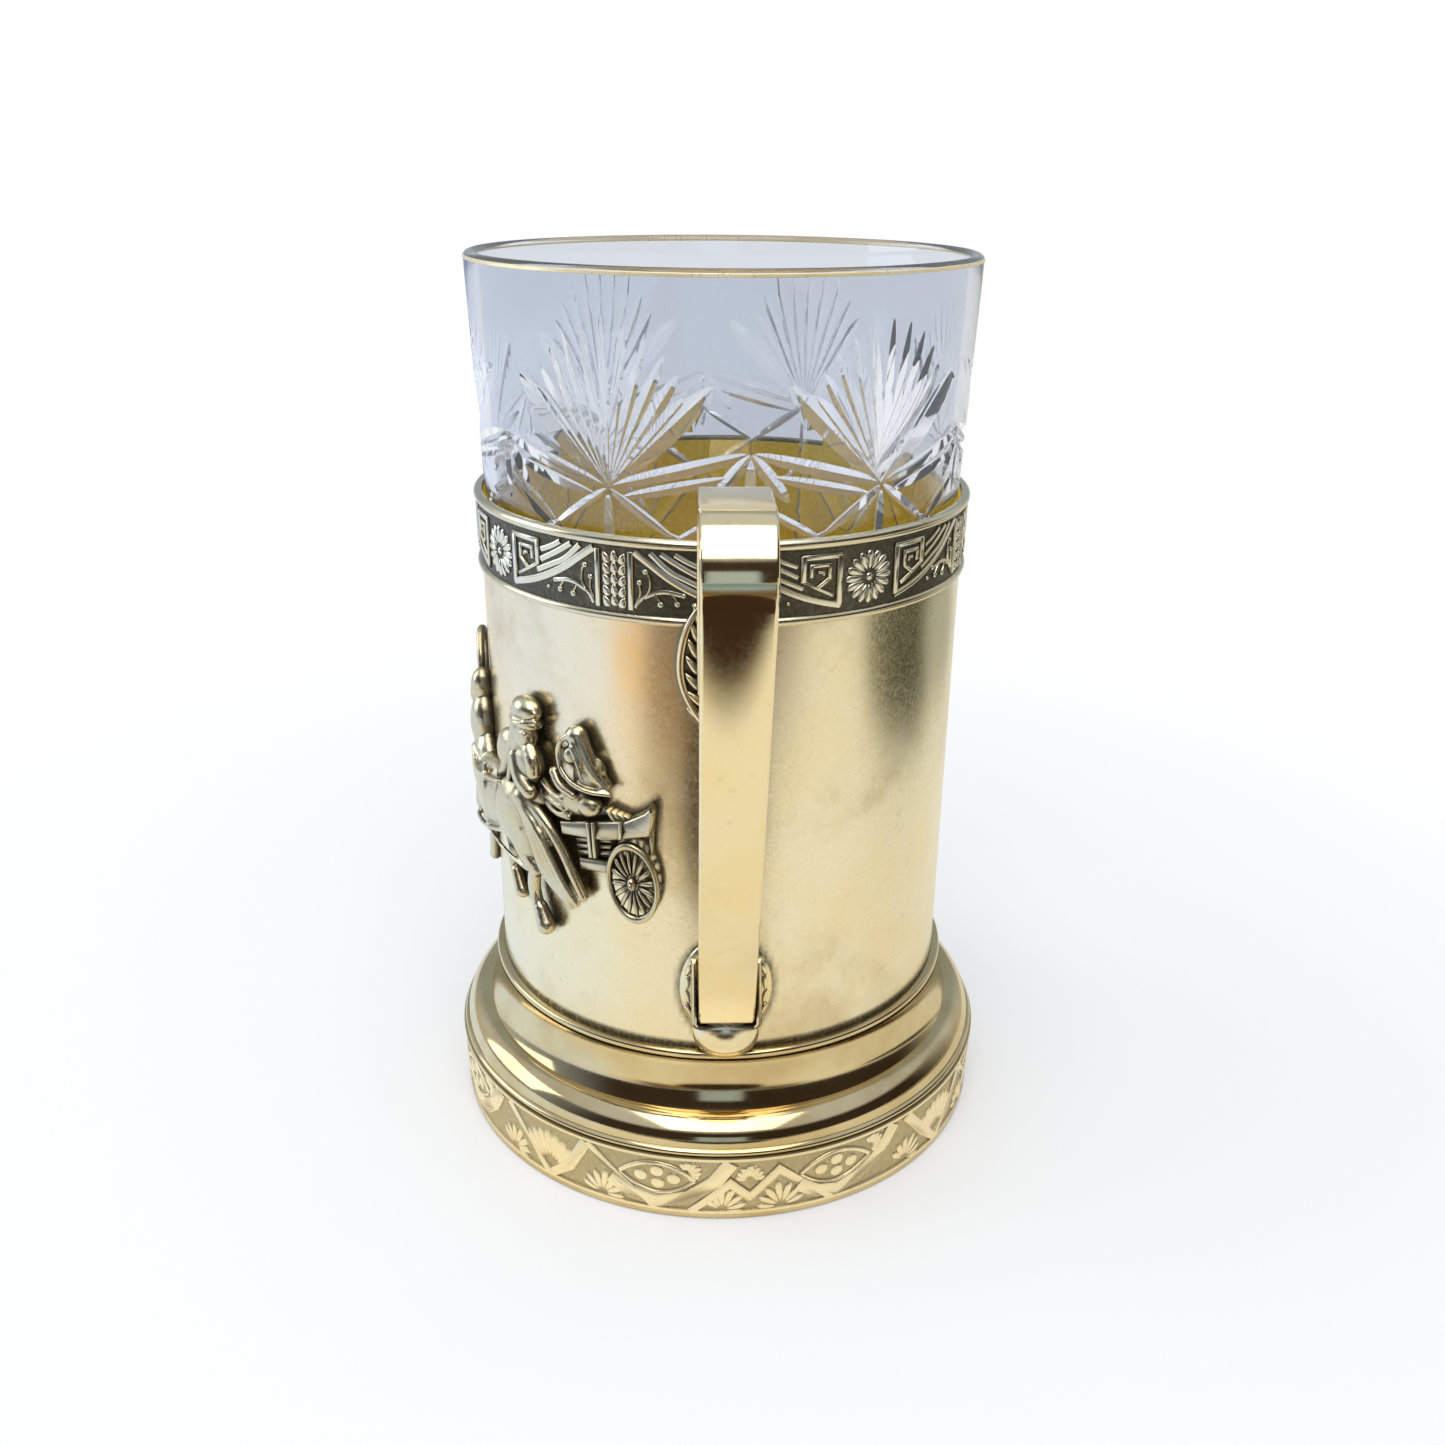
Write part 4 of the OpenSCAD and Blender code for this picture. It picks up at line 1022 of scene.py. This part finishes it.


# tarnish and painted shade on the wall close to whatever is fixed on it
def shadeWall(wall, names, reach):
    bm = bmesh.new()
    for name in names:
        bm.from_mesh(bpy.data.objects[name].data)
    fixed = BVHTree.FromBMesh(bm)
    halo = wall.data.attributes.new("halo", "FLOAT", "POINT")
    for v, value in zip(wall.data.vertices, halo.data):
        near = fixed.find_nearest(v.co, reach * mm)[3]
        value.value = 0 if near is None else max(0, 1 - near / reach / mm) ** 1.5
    bm.free()


shadeWall(cupWall, ["relief_horse", "relief_driver", "relief_passenger", "relief_cart", "handle_leaf_plate",
                    "handle_socket_cup"], 1)
print("wall shaded")

# faces cutDeep under the outer face are cut ones, as is the rim above rimLow
glassDims = {
    "low": 26.2, "high": 133, "lowR": 31.87, "rimR": 35.97, "wall": 1.8, "base": 6, "round": 2,
    "roundInside": 2.2, "goldLine": [(35.9, 132), (36, 132.04), (35.98, 132.4), (35.85, 132.5)],
    "cutDeep": (0.9, 0.04), "cutHigh": (70, 131), "rimLow": 131.9}
# leaves are from (along, height) to (along, height) and a width; those right of a fan are mirrored
cuts = {
    "fans": 6, "firstFan": -26, "fanZ": 106.5, "fanTop": 20.5, "needles": 11, "spread": 84, "width": 1.35,
    "sideWidth": 1.3, "sideShort": 0.24, "depth": 0.62, "flatR": 34.9,
    "leaves": [((1.2, 107.7), (13.7, 119.4), 3.4), ((0.4, 106.7), (17.9, 111.3), 1.9),
        ((2, 105.4), (15.6, 108.4), 1.5), ((18.2, 111.2), (13.4, 105.2), 1.9),
        ((0.2, 106.3), (8.6, 100.6), 1.3), ((8, 101.2), (17.4, 95.2), 1.3), ((8, 99.6), (17.6, 105), 1.2),
        ((0.4, 96.6), (9.4, 86), 1.6), ((18, 95.4), (9.6, 85.4), 1.6), ((9.4, 99.4), (9.2, 87.8), 1.4),
        ((0.4, 74.4), (9, 84.6), 1.6), ((18, 74.6), (9.8, 84.8), 1.6)],
    "middles": [((18.27, 110.6), (18.27, 102.4), 1.5), ((0, 105.6), (0, 97), 1.5), ((0, 96), (0, 75), 1.8),
        ((18.27, 94.6), (18.27, 75), 1.8)]}
glassLooks = {
    "clear": {"name": "clearGlass", "low": (0.69, 0.73, 0.79), "high": (0.73, 0.76, 0.82), "roughest": 0.05,
        "paintedHighlight": 0},
    # the cut facets are a paler, whiter copy of the glass: a painted highlight on the cuts and the rim
    "facet": {"name": "cutFacets", "low": (0.9, 0.92, 0.97), "high": (0.96, 0.97, 1), "roughest": 0.1,
        "paintedHighlight": 0.22},
    "driftScale": 30, "smearScale": 240, "smearBand": (0.45, 0.85), "index": 1.5, "bump": 0.04,
    "bumpDepth": 0.3, "fade": (108, 66), "faded": (0.95, 0.95, 0.94), "highlightColour": (0.95, 0.97, 1, 1),
    "shadowColour": (0.985, 0.985, 0.99, 1)}


def glassRadius(z):
    g = glassDims
    return g["lowR"] + (g["rimR"] - g["lowR"]) * (z - g["low"]) / (g["high"] - g["low"])


# leaf-shaped wedge cutters laid on the glass, one at every fan
def leafCutter(start, end, width):
    bm = bmesh.new()
    a, b = Vector(start), Vector(end)
    mid, way = (a + b) / 2, b - a
    for i in range(cuts["fans"]):
        made = ops.create_uvsphere(bm, u_segments=4, v_segments=10, radius=1)["verts"]
        ops.scale(bm, vec=(width / 2, cuts["depth"], way.length / 2), verts=made)
        rotate(bm, made, atan2(way.x, way.y), "Y")
        for v in made:
            z = mid.y + v.co.z
            turn = radians(cuts["firstFan"] + 360 / cuts["fans"] * i) + (mid.x + v.co.x) / cuts["flatR"]
            out = glassRadius(z) - v.co.y
            v.co = Vector((out * sin(turn), -out * cos(turn), z))
    ops.recalc_face_normals(bm, faces=bm.faces)
    return toObject("cutter", bm)


# clear to shadow rays; the tint fades out towards the glass's lower part, and the cut facets and the rim mix
# in white translucency as a painted highlight
def makeGlassMaterial(name, low, high, roughest, paintedHighlight):
    g = glassLooks
    material = newMaterial(name)
    shader = tree.nodes["Principled BSDF"]
    place = addNode("TexCoord").outputs["Object"]
    drift = noise(place, g["driftScale"], 3)
    smear = noise(place, g["smearScale"], 4)
    height = addNode("SeparateXYZ", {0: place}).outputs["Z"]
    faded = stretch(height, g["fade"][0] * mm, g["fade"][1] * mm)
    tint = mixColour(faded, mixColour(drift, low, high), g["faded"])
    feed(shader, "Base Color", tint)
    feed(shader, "Roughness", stretch(smear, *g["smearBand"], 0, roughest))
    feed(shader, "Transmission Weight", 1)
    feed(shader, "IOR", g["index"])
    bump = addNode("Bump", {"Strength": g["bump"], "Distance": g["bumpDepth"] * mm, "Height": drift})
    feed(shader, "Normal", bump.outputs[0])
    # painted highlight: a white translucent layer mixed into the polished glass
    ground = addNode("BsdfTranslucent", {"Color": g["highlightColour"]})
    look = addNode("MixShader", {0: paintedHighlight, 1: shader.outputs[0], 2: ground.outputs[0]})
    clear = addNode("BsdfTransparent", {"Color": g["shadowColour"]})
    shadow = addNode("LightPath").outputs["Is Shadow Ray"]
    both = addNode("MixShader", {0: shadow, 1: look.outputs[0], 2: clear.outputs[0]})
    feed(tree.nodes["Material Output"], "Surface", both.outputs[0])
    return material


def glassBlank():
    g = glassDims
    low, high, wall, round = g["low"], g["high"], g["wall"], g["round"]
    floorZ, inRound = low + g["base"], g["roundInside"]
    outline = [(0, low), (g["lowR"] - round, low)]
    outline += arcPoints(g["lowR"] - round, low + round, round, -80, 0, 6)
    outline += [(glassRadius(z), z) for z in range(34, 132, 2)] + [(g["rimR"] - 0.05, high - 0.9)]
    outline += arcPoints(g["rimR"] - wall / 2, high - wall / 2, wall / 2, 20, 160, 7)
    outline += [(glassRadius(z) - wall, z) for z in range(130, 40, -6)]
    outline += arcPoints(g["lowR"] - wall - 1.6, floorZ + inRound, inRound, -10, -90, 6) + [(0, floorZ)]
    bm = turned(outline, closed=False)
    ops.recalc_face_normals(bm, faces=bm.faces)
    return toObject("glassBlank", bm)


# the cuts in the order they are made: the fans' needles, leaves on both sides of a fan, middle leaves
def cutRows():
    c = cuts
    rows = []
    for k in range(c["needles"]):
        share = 2 * k / (c["needles"] - 1) - 1
        tilt = radians(c["spread"] / 2 * share)
        length = c["fanTop"] * (1 - c["sideShort"] * abs(share) ** 1.6)
        end = (sin(tilt) * length, c["fanZ"] + cos(tilt) * length)
        rows.append(((0, c["fanZ"]), end, c["width"] + c["sideWidth"] * share ** 2))
    for start, end, width in c["leaves"]:
        rows += [(start, end, width), ((-start[0], start[1]), (-end[0], end[1]), width)]
    return rows + c["middles"]


def makeGlass():
    g = glassDims
    blank = glassBlank()
    holders = [leafCutter(*row) for row in cutRows()]
    for holder in holders:
        cutter = blank.modifiers.new("cut", "BOOLEAN")
        cutter.operation, cutter.solver, cutter.object = "DIFFERENCE", "MANIFOLD", holder
    done = bmesh.new()
    done.from_mesh(blank.evaluated_get(bpy.context.evaluated_depsgraph_get()).to_mesh())
    for holder in holders + [blank]:
        bpy.data.objects.remove(holder)
    for key in ("clear", "facet"):
        materials[key] = makeGlassMaterial(**glassLooks[key])
    glass = finishPiece("glass_body", done, "clear", "glass_tumbler", 24, "glass", "facet")
    deepest, shallowest = g["cutDeep"]
    lowest, highest = g["cutHigh"]
    for face in glass.data.polygons:
        sunk = glassRadius(face.center.z / mm) - hypot(face.center.x, face.center.y) / mm
        isCut = lowest < face.center.z / mm < highest and shallowest < sunk < deepest
        if isCut or face.center.z / mm > g["rimLow"]:
            face.material_index = 1
    finishPiece("glass_gilt_line", turned(g["goldLine"]), "line", "gilt_rim_line", body="glass")


makeGlass()
print("glass ready")
